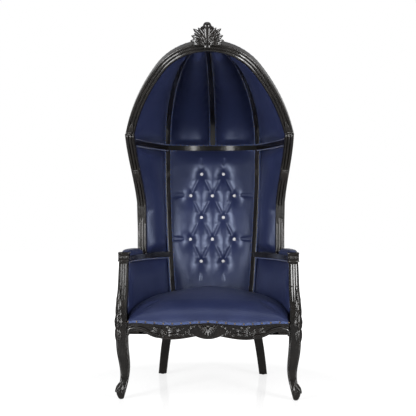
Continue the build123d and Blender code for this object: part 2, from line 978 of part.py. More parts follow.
def stile_corner(height, side, inward):
    """Corner beside the right back stile: side is 1 on the wing's side, -1 on the back's."""
    return stile_centre(height) + stile_along * side * side_clear + stile_inward * inward


def arm_faces(height):
    """Sections of the arm's inner pad and outer panel at a height."""
    post = post_centre(height) + backward * (leg_block / 2 + seat_gap)
    bow = arm_bow(height)
    pad = slab_loop(
        post - outward * (post_width / 2 - pad_edge_drop),
        stile_corner(height, 1, stile_inner),
        stile_corner(height, 1, -panel_split),
        post + outward * panel_split,
        arm_inner_crown - bow,
        -bow,
    )
    panel = slab_loop(
        post + outward * (panel_split + seat_gap),
        stile_corner(height, 1, -panel_split - seat_gap),
        stile_corner(height, 1, -stile_outer),
        post + outward * (post_width / 2 - pad_edge_drop),
        -bow,
        -bow - outer_crown,
    )
    return pad, panel


def wing_faces(height):
    """Sections of the wing's inner pad and outer panel at a height."""
    hood = hood_centre(height) + backward * (hood_depth / 2 + seat_gap)
    pad = slab_loop(
        hood - outward * (hood_width / 2 - pad_edge_drop),
        stile_corner(height, 1, stile_inner),
        stile_corner(height, 1, -panel_split),
        hood + outward * panel_split,
        wing_pad_crown - wing_bow,
        -wing_bow,
    )
    panel = slab_loop(
        hood + outward * (panel_split + seat_gap),
        stile_corner(height, 1, -panel_split - seat_gap),
        stile_corner(height, 1, -stile_outer),
        hood + outward * (hood_width / 2 - pad_edge_drop),
        -wing_bow,
        -wing_bow - outer_crown,
    )
    return pad, panel


def back_rise(height):
    """Rise of the back pad towards the sitter, drawn in at its two ends."""
    share = stile_share(height)
    fullness = held(share / back_end_share) * held((1 - share) / back_end_share)
    return back_pad_crown * lerp(back_end_rise_share, 1, eased(fullness)) - back_bow(height)


def back_faces(height):
    """Sections of the tufted back pad and of the panel behind it at a height."""
    inner = stile_corner(height, -1, stile_inner)
    middle = stile_corner(height, -1, -panel_split)
    behind = stile_corner(height, -1, -panel_split - seat_gap)
    outer = stile_corner(height, -1, -stile_outer)
    bow = back_bow(height)
    pad = slab_loop(mirrored(inner), inner, middle, mirrored(middle), back_rise(height), -bow)
    panel = slab_loop(
        mirrored(behind), behind, outer, mirrored(outer), -bow, -bow - outer_crown
    )
    return pad, panel


arm_heights = [
    lerp(seat_rail_top + seat_gap, arm_rail_low - seat_gap, index / arm_steps)
    for index in range(arm_steps + 1)
]
back_station_shares = (0, 0.08, 0.3, 0.55, 0.8, 0.92, 1)
back_heights = [
    lerp(seat_rail_top + seat_gap, band_low - seat_gap, share)
    for share in back_station_shares
]
with BuildPart() as arm_inner_pad:
    add(skin([arm_faces(height)[0] for height in arm_heights]))
finish_pair(arm_inner_pad.part, "arm_inner_pad")
with BuildPart() as arm_outer_panel:
    add(skin([arm_faces(height)[1] for height in arm_heights]))
finish_pair(arm_outer_panel.part, "arm_outer_panel")
wing_floor = Plane.XY.offset(arm_rail_top + seat_gap)
wing_ceiling = Plane.XY.offset(band_low - seat_gap)
with BuildPart() as wing_pad:
    add(skin([wing_faces(height)[0] for height in hood_heights]))
    split(bisect_by=wing_floor, keep=Keep.TOP)
    split(bisect_by=wing_ceiling, keep=Keep.BOTTOM)
    add(hood_stile.part, mode=Mode.SUBTRACT)
finish_pair(wing_pad.part, "wing_pad")
with BuildPart() as wing_outer_panel:
    add(skin([wing_faces(height)[1] for height in hood_heights]))
    split(bisect_by=wing_floor, keep=Keep.TOP)
    split(bisect_by=wing_ceiling, keep=Keep.BOTTOM)
    add(hood_stile.part, mode=Mode.SUBTRACT)
finish_pair(wing_outer_panel.part, "wing_outer_panel")
with BuildPart() as back_outer_panel:
    add(skin([back_faces(height)[1] for height in back_heights]))
    for side in (back_stile.part, back_stile_left):
        add(side, mode=Mode.SUBTRACT)
finish(back_outer_panel.part, "back_outer_panel")


# Tufted back: twelve buttons in rows of two and three, pulled into round pits, with
# diagonal folds between neighbours and straight pleats to the sides and the ends


def back_surface(spread, height):
    """Point on the front of the back pad."""
    edge = stile_corner(height, -1, stile_inner)
    rise = back_rise(height) * (1 - (spread / edge.X) ** 2)
    return Vector(spread, edge.Y - rise, height)


rake = atan2(stile_top_setback - stile_foot_setback, band_high - seat_rail_top)
back_normal = Vector(0, -cos(rake), sin(rake))
button_places = []
for row, count in enumerate(button_rows):
    for index in range(count):
        spread = (index - (count - 1) / 2) * button_pitch
        button_places.append(
            (row, back_surface(spread, button_top_height - row * button_row_pitch))
        )
folds = []
for row, place in button_places:
    for other_row, other in button_places:
        if other_row == row + 1 and abs(other.X - place.X) < button_pitch:
            folds.append((place, other))
for row, place in button_places:
    if button_rows[row] == max(button_rows) and abs(place.X) > 0:
        reach = place.X + side_fold_length * place.X / abs(place.X)
        folds.append((place, back_surface(reach, place.Z)))
    if row == 0:
        folds.append((place, back_surface(place.X, place.Z + end_fold_length)))
    if row == len(button_rows) - 1:
        folds.append((place, back_surface(place.X, place.Z - end_fold_length)))
with BuildPart() as tuft_pit_body:
    for height, radius in ((0, button_radius + seat_gap), (tuft_depth + fold_depth, tuft_radius)):
        with BuildSketch(Plane.XY.offset(height)):
            RegularPolygon(radius, tuft_sides)
    loft(ruled=True)
tuft_pit = tuft_pit_body.part
with BuildPart() as back_pad:
    add(skin([back_faces(height)[0] for height in back_heights]))
    for side in (back_stile.part, back_stile_left):
        add(side, mode=Mode.SUBTRACT)
    for _, place in button_places:
        with Locations(Plane(origin=place - back_normal * tuft_depth, z_dir=back_normal)):
            add(tuft_pit, mode=Mode.SUBTRACT)
    for start, end in folds:
        run = end - start
        fold_plane = Plane(origin=start, x_dir=run.cross(back_normal), z_dir=run)
        with BuildSketch(fold_plane):
            with BuildLine():
                Polyline(
                    (-fold_width / 2, -fold_depth),
                    (fold_width / 2, -fold_depth),
                    (0, fold_depth),
                    close=True,
                )
            make_face()
        extrude(amount=run.length, mode=Mode.SUBTRACT)
finish(back_pad.part, "back_pad")
with BuildPart() as back_buttons:
    for _, place in button_places:
        foot = place - back_normal * (tuft_depth - seat_gap)
        with BuildSketch(Plane(origin=foot, z_dir=back_normal)):
            RegularPolygon(button_radius, button_sides)
        extrude(amount=button_height, taper=button_taper)
finish(back_buttons.part, "back_buttons")

# Dome gores: pads between the ribs, and outer panels over them. The outer gores run
# from the side ribs to the arch and taper with it.


def rib_corner(rib, share, side, inward):
    """Corner beside a rib at a depth towards the sitter; side is 1 on its outer side."""
    point, _, width_way, inward_way = rib(share)
    reach = rib_width(share) / 2 + seat_gap
    scale = rib_depth(share) / stile_depth
    return point + width_way * side * reach + inward_way * inward * scale


def arch_corner(share, inward):
    """Corner behind the arch, or behind the side frame at the band, at a depth inwards."""
    if share == 0:
        hood = hood_centre(band_high) + backward * (hood_depth / 2 + seat_gap)
        return hood - outward * inward
    point, _, inward_way = arch_at(share * rib_top_share)
    return point - arch_front * (arch_depth / 2 + seat_gap) + inward_way * inward


gore_cut = arch_plane.offset(-arch_depth / 2 - seat_gap)
gore_floor = Plane.XY.offset(band_high + seat_gap)


def gore_faces(share):
    """Sections of the middle gore's pad and panel at a share of the ribs' rise."""
    swell = lerp(gore_foot_share, 1, sin(share * pi))
    pad = slab_loop(
        rib_corner(centre_rib, share, 1, stile_inner),
        rib_corner(side_rib, share, -1, stile_inner),
        rib_corner(side_rib, share, -1, -panel_split),
        rib_corner(centre_rib, share, 1, -panel_split),
        dome_pad_crown * swell,
        -outer_crown / 2,
    )
    panel = slab_loop(
        rib_corner(centre_rib, share, 1, -panel_split - gore_gap),
        rib_corner(side_rib, share, -1, -panel_split - gore_gap),
        rib_corner(side_rib, share, -1, -stile_outer),
        rib_corner(centre_rib, share, 1, -stile_outer),
        -outer_crown / 2,
        -outer_crown,
    )
    return pad, panel


def side_gore_faces(share):
    """Sections of the side gore's pad and panel at a share of the rib's rise."""
    swell = lerp(1, gore_head_share, share)
    pad = slab_loop(
        rib_corner(side_rib, share, 1, stile_inner),
        arch_corner(share, stile_inner),
        arch_corner(share, -panel_split),
        rib_corner(side_rib, share, 1, -panel_split),
        dome_pad_crown * swell,
        -outer_crown * swell,
    )
    panel = slab_loop(
        rib_corner(side_rib, share, 1, -panel_split - gore_gap),
        arch_corner(share, -panel_split - gore_gap),
        arch_corner(share, -stile_outer),
        rib_corner(side_rib, share, 1, -stile_outer),
        -outer_crown * swell,
        -outer_crown * swell * 2,
    )
    return pad, panel


with BuildPart() as dome_pad_inner:
    add(skin([gore_faces(share)[0] for share in rib_shares]))
    split(bisect_by=gore_cut, keep=Keep.BOTTOM)
    split(bisect_by=gore_floor, keep=Keep.TOP)
finish_pair(dome_pad_inner.part, "dome_pad_inner")
with BuildPart() as dome_panel_inner:
    add(skin([gore_faces(share)[1] for share in rib_shares]))
    split(bisect_by=gore_cut, keep=Keep.BOTTOM)
    split(bisect_by=gore_floor, keep=Keep.TOP)
finish_pair(dome_panel_inner.part, "dome_panel_inner")
with BuildPart() as dome_pad_outer:
    add(skin([side_gore_faces(share)[0] for share in rib_shares[:-1]]))
    split(bisect_by=gore_cut, keep=Keep.BOTTOM)
    split(bisect_by=gore_floor, keep=Keep.TOP)
    add(dome_rib_side.part, mode=Mode.SUBTRACT)
finish_pair(dome_pad_outer.part, "dome_pad_outer")
with BuildPart() as dome_panel_outer:
    add(skin([side_gore_faces(share)[1] for share in rib_shares[:-1]]))
    split(bisect_by=gore_cut, keep=Keep.BOTTOM)
    split(bisect_by=gore_floor, keep=Keep.TOP)
    add(dome_rib_side.part, mode=Mode.SUBTRACT)
finish_pair(dome_panel_outer.part, "dome_panel_outer")


# Arm pads: padded caps on the arm rails between the arm posts and the hood frame


def arm_strip(first, last, half_width, height):
    """Level loop along the arm rail between two shares of its run."""
    bow = arm_bow(arm_rail_low)
    middle = level(bow_circle(arm_rail_start, arm_rail_end, bow)[0], height)
    loop = []
    for shares, side in ((chord_shares, 1), (chord_shares[::-1], -1)):
        for share in shares:
            place = bow_point(arm_rail_start, arm_rail_end, bow, lerp(first, last, share))
            place = level(place, height)
            loop.append(place + (place - middle).normalized() * side * half_width)
    return loop


arm_pad_shares = ((0.0, 0.0, 0.88), (0.4, 0.0, 1.0), (0.75, 0.03, 0.86), (1.0, 0.12, 0.48))
with BuildPart() as arm_pad:
    add(
        skin(
            [
                arm_strip(
                    arm_pad_start + inset * (arm_pad_end - arm_pad_start),
                    arm_pad_end - inset * (arm_pad_end - arm_pad_start),
                    width_share * arm_pad_width / 2,
                    arm_rail_top + seat_gap + rise_share * arm_pad_rise,
                )
                for rise_share, inset, width_share in arm_pad_shares
            ]
        )
    )
finish_pair(arm_pad.part, "arm_pad")

# Seat cushion: a tight domed seat with a rolled front edge. Stations are shares of the
# seat's depth, of the side height and of the crown height.
seat_stations = (
    (0.0, 0.66, 0.60),
    (0.2, 0.80, 0.74),
    (0.4, 0.92, 0.87),
    (0.6, 0.98, 0.95),
    (0.8, 1.0, 1.0),
    (1.0, 0.97, 0.97),
)


def arm_pad_face(setback, height):
    """Spread of the arm's inner pad at a setback and a height."""
    start = post_centre(height) + backward * (leg_block / 2 + seat_gap)
    start = level(start - outward * (post_width / 2 - pad_edge_drop), 0)
    end = level(stile_corner(height, 1, stile_inner), 0)
    middle, radius = bow_circle(start, end, arm_bow(height) - arm_inner_crown)
    return middle.X + sqrt(radius**2 - (front_y + setback - middle.Y) ** 2)


def seat_half(setback):
    """Half width of the seat at a setback, clear of the posts and the arms' pads."""
    widest = front_rail_end - seat_edge_gap
    if setback < leg_setback + leg_block / 2:
        return widest
    top = seat_rail_top + seat_crown_height
    return min(
        widest,
        arm_pad_face(setback, seat_rail_top) - seat_edge_gap,
        arm_pad_face(setback, top) - seat_edge_gap,
    )


def seat_loop(depth_share, side_share, crown_share):
    """Upright section of the seat across the chair, with rounded shoulders."""
    setback = lerp(seat_front_setback, seat_back_setback, depth_share)
    half = seat_half(setback)
    side = seat_rail_top + seat_side_height * side_share - seat_shoulder / 2
    crown = seat_rail_top + seat_crown_height * crown_share
    ridge = lerp(side, crown, seat_ridge_share)
    half_line = [(half, seat_rail_top + seat_gap)]
    for index in range(shoulder_count + 1):
        turn = index / shoulder_count * pi / 2
        half_line.append(
            (half - seat_shoulder * (1 - cos(turn)), side + (ridge - side) * sin(turn))
        )
    inner = half - seat_shoulder
    for index in range(1, chord_count):
        share = index / chord_count
        half_line.append((inner * (1 - share), ridge + (crown - ridge) * share * (2 - share)))
    other_half = [(-x, z) for x, z in reversed(half_line)]
    return [at(x, setback, z) for x, z in (*half_line, (0, crown), *other_half)]


seat_front = front_y + seat_front_setback
seat_back = front_y + seat_back_setback
seat_top = seat_rail_top + seat_crown_height * 2
nose_low = seat_rail_top + seat_crown_height * nose_low_share
nose_high = seat_rail_top + seat_crown_height * nose_high_share
with BuildPart() as seat_cushion:
    add(skin([seat_loop(*station) for station in smoothed(seat_stations, seat_steps)]))
    with BuildSketch(Plane.YZ.offset(-leg_spread)):
        with BuildLine():
            Line((seat_front, seat_rail_top), (seat_front, nose_low))
            ThreePointArc(
                (seat_front, nose_low),
                (
                    seat_front + seat_nose * nose_bend_share,
                    lerp(nose_high, nose_low, nose_bend_share),
                ),
                (seat_front + seat_nose, nose_high),
            )
            Line((seat_front + seat_nose, nose_high), (seat_front + seat_nose, seat_top))
            Line((seat_front + seat_nose, seat_top), (seat_back, seat_top))
            Line((seat_back, seat_top), (seat_back, seat_rail_top))
            Line((seat_back, seat_rail_top), (seat_front, seat_rail_top))
        make_face()
    extrude(amount=leg_spread * 2, mode=Mode.INTERSECT)
    extrude(front_rail_face(seat_gap), amount=leg_block * 2, both=True, mode=Mode.SUBTRACT)
finish(seat_cushion.part, "seat_cushion")

# Corner blocks: glued and screwed in the angles of the seat frame
block_low = rail_bottom + seat_gap
with BuildPart() as corner_blocks:
    front_corner = at(front_rail_end, front_rail_setback + front_rail_thickness, block_low)
    for sign in (1, -1):
        with BuildSketch(Plane.XY.offset(block_low)):
            with BuildLine():
                Polyline(
                    (sign * (front_rail_end - block_size), front_corner.Y),
                    (sign * (front_rail_end - seat_gap), front_corner.Y),
                    (sign * (front_rail_end - seat_gap), front_corner.Y + block_size),
                    close=True,
                )
            make_face()
        extrude(amount=block_height)
finish(corner_blocks.part, "corner_blocks")
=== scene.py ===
import json
from math import asin, atan2, copysign, cos, exp, hypot, pi, radians, sin, sqrt, tan

import bmesh
import bpy
from mathutils import Matrix, Vector, noise

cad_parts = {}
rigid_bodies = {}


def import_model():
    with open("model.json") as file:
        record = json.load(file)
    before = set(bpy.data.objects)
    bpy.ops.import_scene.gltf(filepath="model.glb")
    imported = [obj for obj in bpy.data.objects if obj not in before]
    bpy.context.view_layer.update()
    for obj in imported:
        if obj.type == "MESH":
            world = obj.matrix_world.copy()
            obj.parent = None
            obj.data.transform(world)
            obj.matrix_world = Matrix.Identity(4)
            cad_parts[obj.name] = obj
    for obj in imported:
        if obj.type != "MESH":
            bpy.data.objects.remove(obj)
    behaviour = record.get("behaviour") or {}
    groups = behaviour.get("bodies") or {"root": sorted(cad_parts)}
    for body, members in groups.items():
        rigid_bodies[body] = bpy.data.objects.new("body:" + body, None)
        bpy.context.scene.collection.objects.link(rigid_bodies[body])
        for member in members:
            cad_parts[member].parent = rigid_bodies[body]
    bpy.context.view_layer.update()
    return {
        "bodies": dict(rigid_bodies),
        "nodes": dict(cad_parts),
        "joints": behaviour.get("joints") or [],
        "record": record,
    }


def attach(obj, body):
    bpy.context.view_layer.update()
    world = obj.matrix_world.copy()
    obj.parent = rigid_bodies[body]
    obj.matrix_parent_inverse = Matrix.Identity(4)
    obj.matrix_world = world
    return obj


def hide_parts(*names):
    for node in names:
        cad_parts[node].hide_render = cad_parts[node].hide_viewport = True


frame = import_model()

# A hooded porter's chair: black lacquered frame, navy leather, crystal buttons.
# Metres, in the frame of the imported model: +Z up, the sitter faces -Y, +X to the right
# of someone who looks at the front. A setback is a distance behind the front of the
# feet, and a spread is a distance from the middle plane.

# Main places of the frame
FRONT_Y = -0.310
SEAT_RAIL_TOP = 0.354
ARM_HEIGHT = 0.695
ARM_RAIL_LOW = 0.645
ARM_RAIL_TOP = 0.672
BAND_LOW = 1.219
BAND_HIGH = 1.245
KINK_HEIGHT = 1.267
LEG_TOP = 0.365
LEG = (0.409, 0.035)
POST_TOP = (0.402, 0.060)
POST_WIDTH = 0.048
LEG_BLOCK = 0.056
HOOD_FOOT = (0.352, 0.400)
HOOD_KINK = (0.389, 0.172)
HOOD_BEND = 0.880
HOOD_POWER = 1.4
HOOD_WIDTH = 0.046
HOOD_DEPTH = 0.050
ARCH_TOP_SETBACK = -0.092
ARCH_TOP = 1.672
ARCH_WIDTH = 0.044
ARCH_DEPTH = 0.042
CROWN_RADIUS = 0.283
CROWN_TURN = radians(53)
STILE_FOOT = (0.208, 0.563)
STILE_TOP = (0.251, 0.667)
STILE_WIDTH = 0.027
STILE_DEPTH = 0.036
STILE_TURN = radians(35)
BACK_BOW = (0.028, 0.055)
RIB_TOP_SPREAD = 0.076
RIB_TOP_WIDTH = 0.019
RIB_TOP_DEPTH = 0.028
WING_BOW = 0.012
ARM_BOW_SHARE = 0.105
ARM_RAIL_WIDTH = 0.036
GAP = 0.0004
EDGE_CROWDING = 0.6
SEARCH_STEPS = 30
LIMIT_STEPS = 16

X, Y, Z = (Vector(axis) for axis in ((1, 0, 0), (0, 1, 0), (0, 0, 1)))


def lerp(start, end, share):
    """Value a share of the way from start to end."""
    return start + (end - start) * share


def held(share):
    """Share kept between nought and one."""
    return min(max(share, 0.0), 1.0)


def eased(share):
    """Share that leaves and arrives smoothly."""
    share = held(share)
    return share * share * (3 - 2 * share)


def shares(count):
    """Even shares from nought to one."""
    return [index / (count - 1) for index in range(count)]


def edge_shares(count):
    """Shares from nought to one that crowd a little towards both ends."""
    return [lerp(share, 0.5 - 0.5 * cos(share * pi), EDGE_CROWDING) for share in shares(count)]


def spread_out(low, high, count):
    """Even values from low to high."""
    return [lerp(low, high, share) for share in shares(count)]


def last_share(holds, steps):
    """Share, from nought to one, up to which something holds."""
    low, high = 0.0, 1.0
    for _ in range(steps):
        middle = (low + high) / 2
        low, high = (middle, high) if holds(middle) else (low, middle)
    return low


def at(spread, setback, height):
    """Point by its distances from the middle, the front of the feet and the floor."""
    return Vector((spread, FRONT_Y + setback, height))


def between(low, high, share, height):
    """Place a share of the way between two pairs of spread and setback."""
    return at(lerp(low[0], high[0], share), lerp(low[1], high[1], share), height)


def mirrored(point):
    """The same point on the other side of the chair."""
    return Vector((-point.x, point.y, point.z))


# Centre lines of the frame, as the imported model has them


def post_centre(height):
    """Centre of the arm post."""
    return between(LEG, POST_TOP, held((height - LEG_TOP) / (ARM_HEIGHT - LEG_TOP)), height)


def hood_centre(height):
    """Centre of the hood's side frame."""
    share = held((height - HOOD_BEND) / (KINK_HEIGHT - HOOD_BEND))
    return at(
        lerp(HOOD_FOOT[0], HOOD_KINK[0], eased(share)),
        lerp(HOOD_FOOT[1], HOOD_KINK[1], share**HOOD_POWER),
        height,
    )


def stile_share(height):
    """How far up the back stile a height lies."""
    return held((height - SEAT_RAIL_TOP) / (BAND_HIGH - SEAT_RAIL_TOP))


def stile_centre(height):
    """Centre of the back stile."""
    share = stile_share(height)
    return at(
        lerp(STILE_FOOT[0], STILE_TOP[0], sin(share * pi / 2)),
        lerp(STILE_FOOT[1], STILE_TOP[1], share),
        height,
    )


def back_bow(height):
    """How far the back bows behind the line between its stiles."""
    return lerp(*BACK_BOW, stile_share(height))


STILE_ALONG = Vector((cos(STILE_TURN), -sin(STILE_TURN), 0))
STILE_INWARD = Vector((-sin(STILE_TURN), -cos(STILE_TURN), 0))
ARCH_FOOT = at(0, HOOD_KINK[1], KINK_HEIGHT)
ARCH_RISE = at(0, ARCH_TOP_SETBACK, ARCH_TOP) - ARCH_FOOT
ARCH_UP = ARCH_RISE.normalized()
ARCH_FRONT = X.cross(ARCH_UP)
CROWN_MIDDLE = ARCH_RISE.length - ARCH_WIDTH / 2 - CROWN_RADIUS
JOINT = (CROWN_RADIUS * sin(CROWN_TURN), CROWN_MIDDLE + CROWN_RADIUS * cos(CROWN_TURN))
FLANK_ACROSS = HOOD_KINK[0] - JOINT[0]
FLANK_CHORD = hypot(FLANK_ACROSS, JOINT[1])
FLANK_RADIUS = FLANK_CHORD**2 / (
    2 * (JOINT[1] * cos(CROWN_TURN) - FLANK_ACROSS * sin(CROWN_TURN))
)
FLANK_LENGTH = FLANK_RADIUS * 2 * asin(FLANK_CHORD / 2 / FLANK_RADIUS)
ARCH_LENGTH = FLANK_LENGTH + CROWN_RADIUS * CROWN_TURN


def arch_at(share):
    """Point, tangent and inward direction on the arch, from the right kink to the top."""
    run = share * ARCH_LENGTH
    if run < FLANK_LENGTH:
        turn = CROWN_TURN + (FLANK_LENGTH - run) / FLANK_RADIUS
        radius = FLANK_RADIUS
        across = JOINT[0] - FLANK_RADIUS * sin(CROWN_TURN)
        up = JOINT[1] - FLANK_RADIUS * cos(CROWN_TURN)
    else:
        turn = (ARCH_LENGTH - run) / CROWN_RADIUS
        radius, across, up = CROWN_RADIUS, 0.0, CROWN_MIDDLE
    away = X * sin(turn) + ARCH_UP * cos(turn)
    tangent = X * -cos(turn) + ARCH_UP * sin(turn)
    return ARCH_FOOT + X * across + ARCH_UP * up + away * radius, tangent, away * -1


RIB_TOP_SHARE = last_share(lambda share: arch_at(share)[0].x > RIB_TOP_SPREAD, SEARCH_STEPS)
SIDE_RIB_FOOT = stile_centre(BAND_HIGH)
CENTRE_RIB_FOOT = Vector((0, SIDE_RIB_FOOT.y + back_bow(BAND_HIGH), BAND_HIGH))


def dome_rib(foot, head, foot_turn, share):
    """Point, tangent, width direction and inward direction on a dome rib."""
    angle = share * pi / 2
    flat = Vector((head.x - foot.x, head.y - foot.y, 0))
    climb = Z * (head.z - foot.z)
    point = foot + flat * (1 - cos(angle)) + climb * sin(angle)
    tangent = (flat * sin(angle) + climb * cos(angle)).normalized()
    turn = lerp(foot_turn, atan2(-flat.x, -flat.y), share)
    width_way = Vector((cos(turn), -sin(turn), 0))
    width_way = (width_way - tangent * width_way.dot(tangent)).normalized()
    return point, tangent, width_way, width_way.cross(tangent)


def side_rib(share):
    """Right-hand rib of the dome."""
    return dome_rib(SIDE_RIB_FOOT, arch_at(RIB_TOP_SHARE)[0], STILE_TURN, share)


def centre_rib(share):
    """Middle rib of the dome."""
    return dome_rib(CENTRE_RIB_FOOT, arch_at(1)[0], 0, share)


def bow_point(start, end, bow, share):
    """Point a share of the way along the level arc that bows to the right of its run."""
    run = end - start
    radius = (run.length**2 / 4 + bow**2) / (2 * bow)
    side = Vector((run.y, -run.x, 0)).normalized()
    middle = (start + end) / 2 + side * (bow - radius)
    spoke = start - middle
    half_turn = atan2(run.length / 2, radius - bow)
    spoke.rotate(Matrix.Rotation(2 * half_turn * share, 3, "Z"))
    return middle + spoke


def smooth_through(pairs, x):
    """Value at x of a smooth curve through pairs of places and values."""
    last = len(pairs) - 1
    index = next((i for i in range(last) if x <= pairs[i + 1][0]), last - 1)
    before, start, end, after = (pairs[min(max(index + step, 0), last)] for step in (-1, 0, 1, 2))
    width = end[0] - start[0]
    share = held((x - start[0]) / width)
    lead_in = (end[1] - before[1]) / (end[0] - before[0]) * width
    lead_out = (after[1] - start[1]) / (after[0] - start[0]) * width
    square, cube = share**2, share**3
    return (
        (2 * cube - 3 * square + 1) * start[1] + (cube - 2 * square + share) * lead_in
        + (3 * square - 2 * cube) * end[1] + (cube - square) * lead_out
    )


# Mesh helpers
MERGE = 1e-6


def link_object(name, data):
    """Object for a mesh, lamp or camera, linked to the scene."""
    item = bpy.data.objects.new(name, data)
    bpy.context.scene.collection.objects.link(item)
    return item


def mesh_object(name, points, faces):
    """Object with a mesh of points and faces."""
    mesh = bpy.data.meshes.new(name)
    mesh.from_pydata([tuple(point) for point in points], [], faces)
    return link_object(name, mesh)


def close_mesh(mesh, merge=0.0):
    """Turns the faces of a closed mesh outwards; points closer than merge become one."""
    builder = bmesh.new()
    builder.from_mesh(mesh)
    if merge:
        bmesh.ops.remove_doubles(builder, verts=builder.verts, dist=merge)
    bmesh.ops.recalc_face_normals(builder, faces=builder.faces)
    builder.to_mesh(mesh)
    builder.free()


def dress(piece, material, smooth=True):
    """Gives a piece its one material, and smooth or flat faces."""
    piece.data.materials.clear()
    piece.data.materials.append(material)
    for polygon in piece.data.polygons:
        polygon.use_smooth = smooth


def spokes(across, up, sides, twist=0.0):
    """Spokes round a circle, from across towards up."""
    turns = (2 * pi * (side + twist) / sides for side in range(sides))
    return [across * cos(turn) + up * sin(turn) for turn in turns]


def ring_faces(rings, sides):
    """Faces between rings of points that follow one another."""
    return [
        tuple(row * sides + side for row, side in ((low, s), (low, t), (low + 1, t), (low + 1, s)))
        for low in range(rings - 1)
        for s, t in ((side, (side + 1) % sides) for side in range(sides))
    ]


class Shape:
    """Points and faces gathered for one piece, on one or on both sides of the chair."""

    def __init__(self, both_sides=False):
        self.points, self.faces = [], []
        self.twins = (False, True) if both_sides else (False,)

    def add(self, points, faces):
        """Adds faces over their own points."""
        for twin in self.twins:
            start = len(self.points)
            self.points += [mirrored(point) if twin else point for point in points]
            for face in faces:
                face = [start + index for index in face]
                self.faces.append(face[::-1] if twin else face)

    def loft(self, loops):
        """Closed skin through loops of points, all with the same count."""
        count = len(loops[0])
        last = (len(loops) - 1) * count
        ends = [tuple(range(count))[::-1], tuple(range(last, last + count))]
        self.add([point for loop in loops for point in loop], ring_faces(len(loops), count) + ends)

    def dome(self, centre, out, radius, height, sides=8, rings=2):
        """Low round head, such as a nail's."""
        out = out.normalized()
        across = out.orthogonal().normalized()
        points = [
            centre + spoke * radius * cos(angle) + out * height * sin(angle)
            for angle in (pi / 2 * ring / rings for ring in range(rings))
            for spoke in spokes(across, out.cross(across), sides)
        ]
        last = (rings - 1) * sides
        tip = [(last + side, last + (side + 1) % sides, len(points)) for side in range(sides)]
        points.append(centre + out * height)
        self.add(points, ring_faces(rings, sides) + tip + [tuple(range(sides))[::-1]])

    def finish(self, name, material, slot, *replaced, smooth=True):
        """Turns what was gathered into a piece that rides on the chair."""
        piece = mesh_object(name, self.points, self.faces)
        close_mesh(piece.data, MERGE)
        dress(piece, material, smooth)
        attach(piece, "root")
        if replaced:
            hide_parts(*replaced)
        return piece


def path_frames(points, out):
    """Point, tangent, side and out direction at each point of a path."""
    frames = []
    for index, point in enumerate(points):
        before, after = points[max(index - 1, 0)], points[min(index + 1, len(points) - 1)]
        tangent = (after - before).normalized()
        side = tangent.cross(out[index] if isinstance(out, list) else out).normalized()
        frames.append((point, tangent, side, side.cross(tangent)))
    return frames


def even_path(points, pitch):
    """Points a pitch apart along a path."""
    lengths = [0.0]
    for first, second in zip(points, points[1:]):
        lengths.append(lengths[-1] + (second - first).length)
    count = max(2, round(lengths[-1] / pitch) + 1)
    result = []
    index = 0
    for step in range(count):
        run = lengths[-1] * step / (count - 1)
        while index < len(points) - 2 and lengths[index + 1] < run:
            index += 1
        part = (run - lengths[index]) / (lengths[index + 1] - lengths[index])
        result.append(points[index].lerp(points[index + 1], part))
    return result


# Materials


class Nodes:
    """Short ways to add, set and link the nodes of a material or world."""

    def __init__(self, owner):
        self.owner = owner
        owner.use_nodes = True
        self.tree = owner.node_tree

    def feed(self, node, inputs):
        """Gives inputs, by name or number, a value or the socket that feeds them."""
        for key, value in inputs.items():
            if isinstance(value, bpy.types.NodeSocket):
                self.tree.links.new(value, node.inputs[key])
            else:
                node.inputs[key].default_value = value

    def shader(self, inputs):
        """Sets the principled shader."""
        self.feed(self.tree.nodes["Principled BSDF"], inputs)

    def add(self, kind, inputs, output=0, **settings):
        """One output of a new node with its settings and inputs."""
        node = self.tree.nodes.new("ShaderNode" + kind)
        for name, value in settings.items():
            setattr(node, name, value)
        self.feed(node, inputs)
        return node.outputs[output]

    def place(self, kind="Object"):
        """Place in object space, or another texture coordinate."""
        return self.add("TexCoord", {}, kind)

    def noise(self, scale, detail=4.0, place=None):
        """Cloudy noise in object space."""
        return self.add(
            "TexNoise", {"Vector": place or self.place(), "Scale": scale, "Detail": detail}, "Fac"
        )

    def span(self, value, low, high, start=0.0, end=1.0):
        """Maps a value from start..end to low..high."""
        inputs = {"From Min": start, "From Max": end, "To Min": low, "To Max": high}
        return self.add("MapRange", {"Value": value, **inputs}, "Result")

    def mix(self, share, first, second):
        """Mixes a colour, or a socket, with a second colour."""
        first = (*first, 1) if isinstance(first, tuple) else first
        return self.add("Mix", {0: share, 6: first, 7: (*second, 1)}, 2, data_type="RGBA")

    def multiply(self, first, second):
        """Product of two values."""
        return self.add("Math", {0: first, 1: second}, operation="MULTIPLY")

    def bump(self, heights, distance):
        """Chains bumps for heights, each with its share of the distance, onto the shader."""
        normal = {}
        for height, share in heights:
            inputs = {"Distance": distance * share, "Height": height, "Strength": 1.0}
            normal = {"Normal": self.add("Bump", {**inputs, **normal})}
        self.shader(normal)
        return self.owner


def new_nodes(name):
    """Nodes of a new material."""
    return Nodes(bpy.data.materials.new(name))


